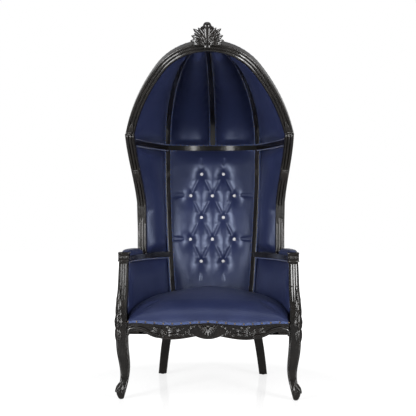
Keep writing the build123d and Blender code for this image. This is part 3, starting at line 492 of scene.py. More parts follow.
def lacquer_material():
    """Gloss black lacquer, brownish where it thins, with faint grain and rubbed edges."""
    nodes = new_nodes("black_lacquer")
    cloud = nodes.noise(14.0)
    colour = nodes.mix(
        nodes.span(cloud, 0, 1, 0.35, 0.7), (0.0030, 0.0025, 0.0022), (0.0080, 0.0064, 0.0052)
    )
    rubbed = nodes.span(nodes.add("NewGeometry", {}, "Pointiness"), 0, 0.35, 0.53, 0.62)
    along = nodes.add("Mapping", {"Vector": nodes.place(), "Scale": (1.0, 1.0, 0.12)})
    streak = nodes.noise(60.0, 6.0, along)
    nodes.shader({
        "Base Color": nodes.mix(rubbed, colour, (0.022, 0.017, 0.014)),
        "Roughness": nodes.span(streak, 0.13, 0.22, 0.3, 0.7),
        "Specular IOR Level": 0.42,
        "Coat Weight": 0.35,
        "Coat Roughness": 0.07,
    })
    return nodes.bump([(streak, 1.0), (cloud, 4.0)], 0.0003)


def leather_material():
    """Smooth navy leather: fine pebble grain, soft creases and a slightly paler rub."""
    nodes = new_nodes("navy_leather")
    pebble = nodes.add("TexVoronoi", {"Vector": nodes.place(), "Scale": 620.0}, "Distance")
    pores = nodes.noise(260.0, 5.0)
    nodes.shader({
        "Base Color": nodes.mix(
            nodes.span(nodes.noise(7.0), 0, 1, 0.3, 0.72),
            (0.0110, 0.0150, 0.046), (0.0175, 0.0230, 0.064),
        ),
        "Roughness": nodes.span(pores, 0.30, 0.39, 0.3, 0.7),
        "Specular IOR Level": 0.60,
        "Specular Tint": (0.66, 0.76, 1.0, 1),
        "Sheen Weight": 0.03,
        "Sheen Roughness": 0.45,
        "Sheen Tint": (0.55, 0.62, 0.85, 1),
    })
    return nodes.bump([(pebble, 1.0), (pores, 1.6), (nodes.noise(36.0, 3.0), 3.0)], 0.00016)


def metal_material():
    """Antique brass of the nails: darker and brighter in small random spots."""
    nodes = new_nodes("antique_brass")
    spots = nodes.noise(180.0)
    nodes.shader({
        "Base Color": nodes.mix(
            nodes.span(spots, 0, 1, 0.35, 0.65), (0.07, 0.052, 0.036), (0.21, 0.155, 0.105)
        ),
        "Metallic": 1.0,
        "Roughness": nodes.span(spots, 0.28, 0.5),
    })
    return nodes.bump([(spots, 1.0)], 0.0002)


def weave_material(name, dark, light, scale):
    """Woven stuff: two crossed waves of threads."""
    nodes = new_nodes(name)
    inputs = {"Vector": nodes.place(), "Scale": scale, "Distortion": 0.6}
    weave = nodes.multiply(*(
        nodes.add("TexWave", inputs, "Fac", bands_direction=way) for way in ("DIAGONAL", "Z")
    ))
    nodes.shader(
        {"Base Color": nodes.mix(weave, dark, light), "Roughness": 0.8, "Sheen Weight": 0.2}
    )
    return nodes.bump([(weave, 1.0)], 0.0004)


def grain_material(name, dark, light, scale, roughness, depth):
    """Matt stuff with an even random grain, such as foam, raw wood or plastic."""
    nodes = new_nodes(name)
    grain = nodes.noise(scale, 6.0)
    nodes.shader({
        "Base Color": nodes.mix(nodes.span(grain, 0, 1, 0.3, 0.7), dark, light),
        "Roughness": roughness,
    })
    return nodes.bump([(grain, 1.0)], depth)


def crystal_material():
    """Clear cut crystal with a little body, so that it reads pale in its dark pit."""
    nodes = new_nodes("crystal")
    haze = nodes.noise(90.0)
    nodes.shader({
        "Base Color": nodes.mix(haze, (0.80, 0.82, 0.86), (0.97, 0.96, 0.95)),
        "Transmission Weight": 0.35,
        "Roughness": nodes.span(haze, 0.03, 0.10),
        "IOR": 1.62,
    })
    return nodes.bump([(haze, 1.0)], 0.0001)


LACQUER = lacquer_material()
LEATHER = leather_material()
BRASS = metal_material()
CRYSTAL = crystal_material()
GIMP = weave_material("blue_gimp", (0.018, 0.034, 0.11), (0.075, 0.12, 0.28), 700.0)
CARRIED = {
    "seat_webbing": weave_material("jute", (0.20, 0.14, 0.08), (0.48, 0.36, 0.22), 260.0),
    "seat_foam": grain_material(
        "foam", (0.62, 0.55, 0.40), (0.85, 0.78, 0.60), 300.0, 0.9, 0.0008
    ),
    "dust_cover": weave_material(
        "bottoming_cloth", (0.006, 0.006, 0.007), (0.03, 0.03, 0.033), 500.0
    ),
    "corner_blocks": grain_material(
        "stained_beech", (0.012, 0.009, 0.007), (0.03, 0.02, 0.014), 70.0, 0.6, 0.0003
    ),
    "glides": grain_material("nylon", (0.02,) * 3, (0.06,) * 3, 200.0, 0.55, 0.0002),
}
WOOD_SLOT = "black_lacquered_wood"
LEATHER_SLOT = "navy_leather"
CRYSTAL_SLOT = "crystal"

# Frame of the chair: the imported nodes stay, with softened arrises so that they catch light
SOFT_NODES = ("pad", "panel", "cushion", "buttons")
WELD_DISTANCE = 0.00002
ARRIS = 0.0022
ARRIS_TURN = radians(38)
for node_name, node in frame["nodes"].items():
    hard = node_name not in CARRIED and not any(word in node_name for word in SOFT_NODES)
    node.data.materials.clear()
    node.data.materials.append(CARRIED.get(node_name, LACQUER))
    if hard:
        node.modifiers.new("Weld", "WELD").merge_threshold = WELD_DISTANCE
        bevel = node.modifiers.new("Arris", "BEVEL")
        bevel.width = ARRIS
        bevel.segments = 2
        bevel.limit_method = "ANGLE"
        bevel.angle_limit = ARRIS_TURN
        node.data.polygons.foreach_set("use_smooth", [True] * len(node.data.polygons))
        node.modifiers.new("Normals", "WEIGHTED_NORMAL").keep_sharp = True

# Plain pads and outside panels: slabs between two members of the frame. The shown side
# has rolled edges, and pads are swollen by pressure as cloth, held along their border.
# Right-hand pieces are made, then mirrored.
INNER_STEP = 0.004
OUTER_STEP = 0.002
STILE_INNER = STILE_DEPTH / 2 - INNER_STEP
STILE_OUTER = STILE_DEPTH / 2 - OUTER_STEP
POST_INNER = POST_WIDTH / 2 - INNER_STEP
HOOD_INNER = HOOD_WIDTH / 2 - INNER_STEP
SPLIT = 0.002
PANEL_ROLL = 0.013
PAD_ROLL = 0.055
ROLL_SHARE = 0.45
ROLL_DEPTH = 0.78
PAD_PUFF = 0.023
ARM_CROWN = 0.015
WING_CROWN = 0.014
DOME_CROWN = 0.016
OUTER_CROWN = 0.005
GORE_FOOT_SHARE = 0.4
GORE_HEAD_SHARE = 0.2
GORE_TOP_SHARE = 0.97
GORE_BASE_SHARE = 1 / 7
GORE_GAP = 0.0025
GORE_LEVELS = (STILE_INNER, -SPLIT, -SPLIT - GORE_GAP, -STILE_OUTER)
MEASURED_SHARE = 0.3
PRESSURE = 3.0
PRESSURE_FRAMES = 16
PAD_FILL = 0.85
FIRM_FILL = 0.9


def stile_corner(height, side, inward, clear=GAP):
    """Place beside the right back stile; side is 1 on the wing's side, -1 on the back's."""
    reach = side * (STILE_WIDTH / 2 + clear)
    return stile_centre(height) + STILE_ALONG * reach + STILE_INWARD * inward


def layers(starts, ends, pad_rises, panel_rises):
    """Pad and panel between two rows of four places, from the sitter's side outwards."""
    return (
        ((starts[0], ends[0], ends[1], starts[1]), pad_rises),
        ((starts[2], ends[2], ends[3], starts[3]), panel_rises),
    )


def wall_sections(upright, half, height, bow, crown):
    """Pad and outside panel between a front upright and the back stile at a height."""
    starts = [upright + X * across for across in (-half, SPLIT, SPLIT + GAP, half)]
    levels = (STILE_INNER, -SPLIT, -SPLIT - GAP, -STILE_OUTER)
    ends = [stile_corner(height, 1, level) for level in levels]
    return layers(starts, ends, (crown - bow, -bow), (-bow, -bow - OUTER_CROWN))


def arm_sections(share):
    """Pad and panel under the arm rail."""
    height = lerp(SEAT_RAIL_TOP + GAP, ARM_RAIL_LOW - GAP, share)
    post = post_centre(height)
    bow = (stile_centre(height) - post).length * ARM_BOW_SHARE
    return wall_sections(post + Y * (LEG_BLOCK / 2 + GAP), POST_INNER, height, bow, ARM_CROWN)


def wing_sections(share):
    """Pad and panel of the wing, from the arm rail to the band."""
    height = lerp(ARM_RAIL_TOP + GAP, BAND_LOW - GAP, share)
    hood = hood_centre(height) + Y * (HOOD_DEPTH / 2 + GAP)
    return wall_sections(hood, HOOD_INNER, height, WING_BOW, WING_CROWN)


def back_panel_section(share):
    """Outside of the back, from the seat frame to the band."""
    height = lerp(SEAT_RAIL_TOP + GAP, BAND_LOW - GAP, share)
    behind, outer = (stile_corner(height, -1, level) for level in (-SPLIT - GAP, -STILE_OUTER))
    bow = back_bow(height)
    return (mirrored(behind), behind, outer, mirrored(outer)), (-bow, -bow - OUTER_CROWN)


def rib_corner(rib, share, side, inward, clear=GAP):
    """Place beside a dome rib at a depth."""
    point, _, width_way, inward_way = rib(share)
    reach = lerp(STILE_WIDTH, RIB_TOP_WIDTH, share) / 2 + clear
    scale = lerp(STILE_DEPTH, RIB_TOP_DEPTH, share) / STILE_DEPTH
    return point + width_way * side * reach + inward_way * inward * scale


def arch_corner(share, inward):
    """Place behind the arch, or behind the side frame at the band."""
    if share < GORE_BASE_SHARE:
        hood = hood_centre(BAND_HIGH) + Y * (HOOD_DEPTH / 2 + GAP) - X * inward
        return hood.lerp(arch_corner(GORE_BASE_SHARE, inward), share / GORE_BASE_SHARE)
    point, _, inward_way = arch_at(share * RIB_TOP_SHARE)
    return point - ARCH_FRONT * (ARCH_DEPTH / 2 + GAP) + inward_way * inward


def gore_sections(share):
    """Pad and panel of the middle gore."""
    rise = DOME_CROWN * lerp(GORE_FOOT_SHARE, 1, sin(share * pi))
    centre = [rib_corner(centre_rib, share, 1, level) for level in GORE_LEVELS]
    side = [rib_corner(side_rib, share, -1, level) for level in GORE_LEVELS]
    return layers(centre, side, (rise, -OUTER_CROWN / 2), (-OUTER_CROWN / 2, -OUTER_CROWN))


def side_gore_sections(share):
    """Pad and panel of the side gore."""
    share *= GORE_TOP_SHARE
    swelling = lerp(1, GORE_HEAD_SHARE, share)
    side = [rib_corner(side_rib, share, 1, level) for level in GORE_LEVELS]
    arch = [arch_corner(share, level) for level in GORE_LEVELS]
    outer = OUTER_CROWN * swelling
    return layers(side, arch, (DOME_CROWN * swelling, -outer), (-outer, -outer * 2))


def slab_point(section, across, depth, puff=0.0):
    """Point of a section; depth is nought on its outside and one on the sitter's side."""
    (inner_a, inner_b, outer_b, outer_a), (inner_rise, outer_rise) = section
    way = (inner_a + inner_b - outer_a - outer_b).normalized()
    bow = 4 * across * (1 - across)
    front = inner_a.lerp(inner_b, across) + way * (inner_rise + puff) * bow
    back = outer_a.lerp(outer_b, across) + way * outer_rise * bow
    return back.lerp(front, depth)


def run_limit(section_at, across, depth):
    """Share at which a line of a gore reaches the arch's back face."""

    def behind_arch(share):
        point = slab_point(section_at(share), across, depth)
        return (point - ARCH_FOOT).dot(ARCH_FRONT) <= -ARCH_DEPTH / 2 - GAP

    return 1.0 if behind_arch(1.0) else last_share(behind_arch, LIMIT_STEPS)


def make_pad(name, loops, is_free):
    """Closed pad through loops of points; the cloth holds its vertices that aren't free."""
    shape = Shape()
    shape.loft(loops)
    pad = mesh_object(name, shape.points, shape.faces)
    close_mesh(pad.data)
    still = [vertex.index for vertex in pad.data.vertices if not is_free(vertex)]
    pad.vertex_groups.new(name="held").add(still, 1.0, "REPLACE")
    return pad


def slab_cover(name, section_at, columns, rows, outside=False, to_arch=False):
    """Slab with a rolled and puffed shown side, whose inside is free to swell."""
    shown, hidden = (0.0, 1.0) if outside else (1.0, 0.0)
    low, middle, high = (section_at(share) for share in (0, MEASURED_SHARE, 1))
    width = (slab_point(middle, 0, 1) - slab_point(middle, 1, 1)).length
    height = (slab_point(low, 0.5, 1) - slab_point(high, 0.5, 1)).length
    reach = PANEL_ROLL if outside else min(PAD_ROLL, width * ROLL_SHARE, height * ROLL_SHARE)
    lines = [
        (across, *(run_limit(section_at, across, d) if to_arch else 1.0 for d in (shown, hidden)))
        for across in edge_shares(columns)
    ]
    free = set()
    loops = []
    for row in edge_shares(rows):
        loop = []
        for across, limit, _ in lines:
            near_side = held(min(across, 1 - across) * width / reach)
            near_end = held(min(row, 1 - row) * height / reach)
            fullness = (1 - (1 - near_side) ** 2) * (1 - (1 - near_end) ** 2)
            if 0 < row < 1 and 0 < across < 1:
                free.add(len(loops) * columns * 2 + len(loop))
            depth = lerp(shown, hidden, ROLL_DEPTH * (1 - fullness))
            puff = 0.0 if outside else PAD_PUFF * fullness
            loop.append(slab_point(section_at(row * limit), across, depth, puff))
        for across, _, limit in lines[::-1]:
            loop.append(slab_point(section_at(row * limit), across, hidden))
        loops.append(loop)
    return make_pad(name, loops, lambda vertex: vertex.index in free)


def swell(pads):
    """Runs cloth under pressure on all the pads at once, each moved up to its own cap."""
    for pad, _ in pads:
        cloth = pad.modifiers.new("Cloth", "CLOTH")
        cloth.settings.use_pressure = True
        cloth.settings.uniform_pressure_force = PRESSURE
        cloth.settings.effector_weights.gravity = 0
        cloth.settings.vertex_group_mass = "held"
        cloth.settings.quality = 4
        cloth.collision_settings.use_collision = False
        cloth.point_cache.frame_start = 1
        cloth.point_cache.frame_end = PRESSURE_FRAMES
    for step in range(1, PRESSURE_FRAMES + 1):
        bpy.context.scene.frame_set(step)
    graph = bpy.context.evaluated_depsgraph_get()
    for pad, cap in pads:
        moved = [vertex.co.copy() for vertex in pad.evaluated_get(graph).data.vertices]
        pad.modifiers.clear()
        for vertex, end in zip(pad.data.vertices, moved):
            shift = end - vertex.co
            vertex.co += shift.normalized() * min(shift.length, cap)
    bpy.context.scene.frame_set(1)


def finish_pad(piece, fill, *nodes):
    """Leather for a finished pad, which then rides on the chair in place of the nodes it replaces.
    """
    dress(piece, LEATHER)
    piece.vertex_groups.clear()
    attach(piece, "root")
    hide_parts(*nodes)


PAD_CAP = 0.005
SIDE_COVERS = (
    ("wing_pad", wing_sections, 22, 56, False, False),
    ("arm_inner_pad", arm_sections, 44, 30, False, False),
    ("dome_pad_inner", gore_sections, 28, 56, False, True),
    ("dome_pad_outer", side_gore_sections, 36, 56, False, True),
    ("wing_outer_panel", wing_sections, 16, 40, True, False),
    ("arm_outer_panel", arm_sections, 30, 20, True, False),
    ("dome_panel_inner", gore_sections, 20, 40, True, True),
    ("dome_panel_outer", side_gore_sections, 24, 40, True, True),
)
covers = []
for base, sections, columns, rows, outside, to_arch in SIDE_COVERS:
    cover = slab_cover(
        base + "_cover_right", lambda share: sections(share)[int(outside)], columns, rows,
        outside, to_arch,
    )
    covers.append((cover, 0 if outside else PAD_CAP))
back_outside = slab_cover("back_outside_cover", back_panel_section, 36, 56, outside=True)

# Arm pads: soft caps along the arm rails
ARM_PAD_RUN = (0.155, 0.525)
ARM_PAD_WIDTH = 0.060
ARM_PAD_RISE = 0.031
ARM_PAD_END = 0.05
ARM_PAD_NECK = 0.80
ARM_PAD_END_RISE = 0.35
ARM_PAD_CAP = 0.003
ARM_PAD_HELD = 0.004
ARM_PAD_RINGS = 34
LOOK_AHEAD = 0.01
ARM_PAD_PROFILE = (
    (0.88, 0.0), (0.96, 0.17), (1.0, 0.38), (0.96, 0.60), (0.85, 0.79), (0.64, 0.92), (0.34, 0.99)
)
ARM_START = post_centre(ARM_RAIL_LOW)
ARM_END = stile_centre(ARM_RAIL_LOW)
ARM_RUN = (ARM_END - ARM_START).length
ARM_BOW = ARM_RUN * ARM_BOW_SHARE


def arm_line(share):
    """Middle line of the arm rail."""
    return bow_point(ARM_START, ARM_END, ARM_BOW, share)


def arm_pad_loop(share):
    """Ring of the arm pad a share of the way along it."""
    run = lerp(*ARM_PAD_RUN, share)
    side = (arm_line(run + LOOK_AHEAD) - arm_line(run)).normalized().cross(Z)
    length = ARM_RUN * (ARM_PAD_RUN[1] - ARM_PAD_RUN[0])
    near_end = held(min(share, 1 - share) * length / ARM_PAD_END)
    fullness = sqrt(1 - (1 - near_end) ** 2)
    neck = lerp(ARM_PAD_NECK, 1, fullness) * lerp(ARM_PAD_NECK, 1, eased(share * 2))
    rise = Z * ARM_PAD_RISE * lerp(ARM_PAD_END_RISE, 1, fullness)
    foot = Vector((*arm_line(run).xy, ARM_RAIL_TOP + GAP))
    left = tuple((-across, up) for across, up in ARM_PAD_PROFILE[::-1])
    return [
        foot + rise * up + side * (across * ARM_PAD_WIDTH / 2 * neck)
        for across, up in (*ARM_PAD_PROFILE, (0.0, 1.0), *left)
    ]


arm_cover = make_pad(
    "arm_pad_cover_right", [arm_pad_loop(share) for share in edge_shares(ARM_PAD_RINGS)],
    lambda vertex: vertex.co.z >= ARM_RAIL_TOP + ARM_PAD_HELD,
)
covers.append((arm_cover, ARM_PAD_CAP))

# Front rail, seat edge: the wave that the seat's front edge follows
RAIL_FACE_SETBACK = 0.012
RAIL_BOW = 0.010
RAIL_THICKNESS = 0.038
RAIL_HALF = LEG[0] - LEG_BLOCK / 2
RAIL_TOP_SHARES = ((0.0, 1.0), (0.2, 0.5), (0.45, 0.0), (0.70, 0.42), (0.84, 0.70), (1.0, 0.67))
RAIL_LOW_SHARES = (
    (0.0, 1.0), (0.15, 0.80), (0.34, 1.0), (0.59, 0.97), (0.69, 0.78), (0.86, 0.47), (1.0, 0.58)
)
RAIL_WAVE = 0.012
RAIL_DROP = 0.065


def rail_top(spread):
    """Height of the front rail's top edge at a spread."""
    return SEAT_RAIL_TOP + RAIL_WAVE * smooth_through(RAIL_TOP_SHARES, abs(spread) / RAIL_HALF)


def rail_low(spread):
    """Height of the front rail's lower edge at a spread."""
    return SEAT_RAIL_TOP - RAIL_DROP * smooth_through(RAIL_LOW_SHARES, abs(spread) / RAIL_HALF)


def rail_face(spread, height, out=0.0):
    """Place on the front rail's bowed face, or in front of it."""
    bow = RAIL_BOW * (1 - (spread / RAIL_HALF) ** 2)
    return at(spread, RAIL_FACE_SETBACK - bow - out, height)


# Seat: a domed cushion with a rolled front, lofted from its left side to its right
SEAT_FRONT = 0.010
SEAT_BACK = 0.534
SEAT_SIDE = 0.104
SEAT_CROWN = 0.142
SEAT_SHOULDER = 0.062
SEAT_RIDGE_SHARE = 0.55
SEAT_NOSE = 0.115
NOSE_START = 0.27
NOSE_POWER = 0.8
SEAT_EDGE_GAP = 0.003
RAIL_GAP = 0.001
SEAT_LEAST_RISE = 0.005
SEAT_CAP = 0.007
SEAT_SIDE_RISES = ((0.0, 0.66), (0.2, 0.80), (0.4, 0.92), (0.6, 0.98), (0.8, 1.0), (1.0, 0.97))
SEAT_CROWN_RISES = ((0.0, 0.60), (0.2, 0.74), (0.4, 0.87), (0.6, 0.95), (0.8, 1.0), (1.0, 0.97))
SEAT_COLUMNS = 75
NOSE_ROWS = 16
NOSE_CROWDING = 1.9
TOP_ROWS = 34
SEAT_SETBACKS = [SEAT_FRONT + SEAT_NOSE * share**NOSE_CROWDING for share in shares(NOSE_ROWS)]
SEAT_SETBACKS += spread_out(SEAT_FRONT + SEAT_NOSE, SEAT_BACK, TOP_ROWS)[1:]
LIP_SHARES = (0.0, 0.33, 0.66)


def seat_half(setback):
    """Half width of the seat at a setback."""
    widest = RAIL_HALF - SEAT_EDGE_GAP
    start = post_centre(SEAT_RAIL_TOP) + Y * LEG_BLOCK / 2 - X * POST_INNER
    end = stile_corner(SEAT_RAIL_TOP, 1, STILE_INNER)
    if FRONT_Y + setback < start.y:
        return widest
    share = held((FRONT_Y + setback - start.y) / (end.y - start.y))
    bow = ((end - start).length * ARM_BOW_SHARE - ARM_CROWN) * 4 * share * (1 - share)
    return min(widest, lerp(start.x, end.x, share) + bow - SEAT_EDGE_GAP)


def seat_rise(across, setback):
    """Rise of the seat over the rails at a share of its half width and a setback."""
    depth_share = held((setback - SEAT_FRONT) / (SEAT_BACK - SEAT_FRONT))
    side = SEAT_SIDE * smooth_through(SEAT_SIDE_RISES, depth_share) - SEAT_SHOULDER / 2
    crown = SEAT_CROWN * smooth_through(SEAT_CROWN_RISES, depth_share)
    ridge = lerp(side, crown, SEAT_RIDGE_SHARE)
    half = seat_half(setback)
    inner = half - SEAT_SHOULDER
    away = abs(across) * half
    if away < inner:
        rise = lerp(crown, ridge, (away / inner) ** 2)
    else:
        rise = lerp(side, ridge, sqrt(1 - held((away - inner) / SEAT_SHOULDER) ** 2))
    turn = held((setback - SEAT_FRONT) / SEAT_NOSE)
    return rise * lerp(NOSE_START, 1, sqrt(1 - (1 - turn) ** 2) ** NOSE_POWER)


def seat_loop(across):
    """Ring of the seat cushion at a share of its half width, from its front edge back."""

    def seat_at(setback, height):
        return at(across * seat_half(setback), setback, height)

    low = SEAT_RAIL_TOP + GAP
    foot = rail_top(across * seat_half(SEAT_FRONT)) + GAP
    least = foot + SEAT_LEAST_RISE
    tops = [max(SEAT_RAIL_TOP + seat_rise(across, setback), least) for setback in SEAT_SETBACKS]
    behind_rail = RAIL_FACE_SETBACK + RAIL_THICKNESS + RAIL_GAP
    return [
        *(seat_at(SEAT_FRONT, lerp(foot, tops[0], share)) for share in LIP_SHARES),
        *(seat_at(setback, top) for setback, top in zip(SEAT_SETBACKS, tops)),
        seat_at(SEAT_BACK, (low + tops[-1]) / 2), seat_at(SEAT_BACK, low),
        seat_at(behind_rail, low), seat_at(behind_rail, foot),
    ]


def seat_is_free(vertex):
    """Whether a vertex of the seat lies inside its top."""
    column, row = divmod(vertex.index, len(LIP_SHARES) + len(SEAT_SETBACKS) + 4)
    inside = len(LIP_SHARES) <= row < len(LIP_SHARES) + len(SEAT_SETBACKS) - 1
    return 0 < column < SEAT_COLUMNS - 1 and inside


seat_cover = make_pad(
    "seat_cover", [seat_loop(share * 2 - 1) for share in edge_shares(SEAT_COLUMNS)], seat_is_free
)
swell([(cover, cap) for cover, cap in covers if cap] + [(seat_cover, SEAT_CAP)])
for cover, _ in covers:
    base = cover.name.replace("_cover_right", "")
    mesh = cover.data.copy()
    mesh.transform(Matrix.Scale(-1, 4, X))
    mesh.flip_normals()
    finish_pad(cover, PAD_FILL, base + "_right")
    finish_pad(link_object(base + "_cover_left", mesh), PAD_FILL, base + "_left")
finish_pad(back_outside, FIRM_FILL, "back_outer_panel")
finish_pad(seat_cover, FIRM_FILL, "seat_cushion")

# Tufted back: a closed pad whose front is the bowed back, pulled in at the buttons, the
# diagonal folds between them and the pleats to the sides and the ends
BUTTON_PITCH = 0.118
BUTTON_ROW_PITCH = 0.117
BUTTON_TOP = 1.092
BUTTON_ROWS = (2, 3, 2, 3, 2)
BUTTON_RADIUS = 0.0088
BACK_CROWN = 0.050
BACK_EDGE_POWER = 3.0
BACK_EDGE_STEP = 0.006
BACK_END_SHARE = 0.10
BACK_END_RISE = 0.35
BACK_END_POWER = 0.6
PIT_DEPTH = 0.029
PIT_RADIUS = 0.026
PIT_POWER = 1.55
PIT_FALL = 0.45
FOLD_DEPTH = 0.019
FOLD_REACH = 0.015
FOLD_SAG = 0.18
PLEAT_DEPTH = 0.014
PLEAT_REACH = 0.008
SIDE_PLEAT = 0.105
SIDE_PLEAT_LIFTS = (-0.006, 0.008)
TOP_PLEAT = (1.04, 0.085)
LOW_PLEAT = (1.02, -0.1105)
RIPPLE = 0.0008
RIPPLE_PACE = (30, 18)
RIPPLE_SEED = 3.7
BACK_COLUMNS = 121
BACK_RISERS = 211
RAKE = atan2(STILE_TOP[1] - STILE_FOOT[1], BAND_HIGH - SEAT_RAIL_TOP)
BACK_OUT = Vector((0, -cos(RAKE), sin(RAKE)))


def back_edge(height):
    """Place where the tufted back meets the right stile."""
    return stile_corner(height, -1, STILE_DEPTH / 2 - BACK_EDGE_STEP)


def back_smooth(spread, height):
    """Point on the back before it is tufted."""
    share = (height - SEAT_RAIL_TOP) / (BAND_LOW - SEAT_RAIL_TOP)
    fullness = held(share / BACK_END_SHARE) * held((1 - share) / BACK_END_SHARE)
    crown = BACK_CROWN * lerp(BACK_END_RISE, 1, eased(fullness**BACK_END_POWER))
    edge = back_edge(height)
    out = min(abs(spread) / edge.x, 1.0)
    rise = crown * (1 - out**BACK_EDGE_POWER) - back_bow(height) * (1 - out**2)
    return Vector((spread, edge.y - rise, height))


buttons = [
    ((index - (count - 1) / 2) * BUTTON_PITCH, BUTTON_TOP - row * BUTTON_ROW_PITCH)
    for row, count in enumerate(BUTTON_ROWS) for index in range(count)
]
folds = [
    (upper, lower) for upper in buttons for lower in buttons
    if abs(upper[1] - lower[1] - BUTTON_ROW_PITCH) < GAP and abs(upper[0] - lower[0]) < BUTTON_PITCH
]
pleats = []
for spread, height in buttons:
    ends = []
    if abs(spread) > BUTTON_PITCH - GAP:
        reach = spread + copysign(SIDE_PLEAT, spread)
        ends = [(reach, height + lift) for lift in SIDE_PLEAT_LIFTS]
    elif height == buttons[0][1]:
        ends = [(spread * TOP_PLEAT[0], height + TOP_PLEAT[1])]
    elif height == buttons[-1][1]:
        ends = [(spread * LOW_PLEAT[0], height + LOW_PLEAT[1])]
    pleats += [((spread, height), end) for end in ends]


def line_distance(spread, height, start, end):
    """Distance to a fold or pleat, and the share along it."""
    run = (end[0] - start[0], end[1] - start[1])
    along = (spread - start[0]) * run[0] + (height - start[1]) * run[1]
    share = held(along / (run[0] ** 2 + run[1] ** 2))
    return hypot(spread - start[0] - run[0] * share, height - start[1] - run[1] * share), share


def tuft(spread, height):
    """How far the back is pulled in at a place."""
    pull = 0.0
    for start, end in folds:
        away, share = line_distance(spread, height, start, end)
        pull = max(pull, FOLD_DEPTH * (1 - FOLD_SAG * sin(share * pi)) * exp(-away / FOLD_REACH))
    for start, end in pleats:
        away, share = line_distance(spread, height, start, end)
        pull = max(pull, PLEAT_DEPTH * sqrt(1 - share) * exp(-away / PLEAT_REACH))
    for across, up in buttons:
        away = hypot(spread - across, height - up) - max(up - height, 0) * PIT_FALL
        pull = max(pull, PIT_DEPTH * exp(-((max(away, 0) / PIT_RADIUS) ** PIT_POWER)))
    place = Vector((spread * RIPPLE_PACE[0], height * RIPPLE_PACE[1], RIPPLE_SEED))
    return pull + noise.noise(place) * RIPPLE


back_loops = []
for height in spread_out(SEAT_RAIL_TOP + GAP, BAND_LOW - GAP, BACK_RISERS):
    edge = back_edge(height).x
    spreads = spread_out(-edge, edge, BACK_COLUMNS)
    rear_y, bow = stile_centre(height).y, back_bow(height)
    front = [back_smooth(s, height) - BACK_OUT * tuft(s, height) for s in spreads]
    rear = [Vector((s, rear_y + bow * (1 - (s / edge) ** 2), height)) for s in spreads[::-1]]
    back_loops.append(front + rear)
back_cover = Shape()
back_cover.loft(back_loops)
back_piece = back_cover.finish("back_cover", LEATHER, LEATHER_SLOT, "back_pad")

# Crystal buttons: a faceted table on two rings of facets, in a small foil cup
FACETS = 8
FACET_RINGS = ((0.72, 0.000, 0.0), (1.0, 0.0035, 0.5), (0.80, 0.0075, 0.0), (0.48, 0.0095, 0.5))
BUTTON_SINK = 0.001
CUP_SHARE = 1.06
CUP_HEIGHT = 0.003
crystals, cups = Shape(), Shape()
for spread, height in buttons:
    bed = back_smooth(spread, height) - BACK_OUT * (PIT_DEPTH - BUTTON_SINK)
    points = [
        bed + spoke * BUTTON_RADIUS * radius + BACK_OUT * lift
        for radius, lift, twist in FACET_RINGS
        for spoke in spokes(X, X.cross(BACK_OUT), FACETS, twist)
    ]
    faces = [tuple(range(FACETS))[::-1], tuple(range(3 * FACETS, 4 * FACETS))]
    for low, low_after, high_after, high in ring_faces(len(FACET_RINGS), FACETS):
        faces += [(low, low_after, high), (low_after, high_after, high)]
    crystals.add(points, faces)
    cups.dome(bed - BACK_OUT * BUTTON_SINK, BACK_OUT, BUTTON_RADIUS * CUP_SHARE, CUP_HEIGHT, 16)
crystals.finish("button_crystals", CRYSTAL, CRYSTAL_SLOT, "back_buttons", smooth=False)
cups.finish("button_cups", BRASS, CRYSTAL_SLOT)

# Trim: blue gimp along every edge between wood and leather, with small nails
GIMP_WIDTH = 0.0060
GIMP_THICK = 0.0022
GIMP_SECTION = ((0, 0), (0, 1), (0.5, 1.5), (1, 0.6), (1, -1))
NAIL_RADIUS = 0.0029
NAIL_HEIGHT = 0.0022
NAIL_PITCH = 0.026
TRIM_STEPS = 28
SEAT_LINE = 0.46
POST_LINE = 0.43
RIB_END = 0.93
ARCH_INSET = 0.95
ARM_TRIM = (0.07, 0.97, 0.81)
ARM_TRIM_INSET = 0.003
gimp, nails = Shape(both_sides=True), Shape(both_sides=True)


def trim_path(path, outs, sign):
    """Gimp strip beside a path, on the side given, and nails along its middle."""
    frames = path_frames(path, outs)

    def beside(frame, across, up):
        point, _, side, out = frame
        return point + side * sign * GIMP_WIDTH * across + out * GIMP_THICK * up

    gimp.loft([[beside(frame, *corner) for corner in GIMP_SECTION] for frame in frames])
    for spot in even_path([beside(frame, 0.5, 1) for frame in frames], NAIL_PITCH):
        nearest = min(frames, key=lambda frame: (frame[0] - spot).length_squared)
        nails.dome(spot, nearest[3], NAIL_RADIUS, NAIL_HEIGHT)


def trim(place, out, sign, count=TRIM_STEPS):
    """Trim along a place that is a function of a share."""
    trim_path([place(s) for s in shares(count)], [out(s) for s in shares(count)], sign)


def level_trim(place, step, height, lift, depth):
    """Trim above or below a level bowed member, on both faces; step finds its direction."""
    for facing in (1, -1):
        path, outs = [], []
        for share in shares(TRIM_STEPS):
            ahead = place(min(share + step, 1)) - place(max(share - step, 0))
            outs.append(Z.cross(ahead.normalized()) * facing)
            path.append(Vector((*place(share).xy, height)) + outs[-1] * depth)
        sign = 1 if (path[-1] - path[0]).cross(outs[0]).z * lift > 0 else -1
        trim_path(path, outs, sign)


for depth, facing in ((STILE_INNER, 1), (-STILE_OUTER, -1)):
    for rib, side in ((side_rib, 1), (side_rib, -1), (centre_rib, 1)):
        trim(
            lambda s: rib_corner(rib, s * RIB_END, side, depth, 0),
            lambda s: rib(s * RIB_END)[3] * facing, side * facing,
        )
    foot = SEAT_LINE if facing > 0 else SEAT_RAIL_TOP
    for low, high, side in (
        (foot, BAND_LOW, -1), (foot, ARM_RAIL_LOW, 1), (ARM_RAIL_TOP, BAND_LOW, 1)
    ):
        trim(
            lambda s: stile_corner(lerp(low, high, s), side, depth, 0),
            lambda s: STILE_INWARD * facing, side * facing,
        )

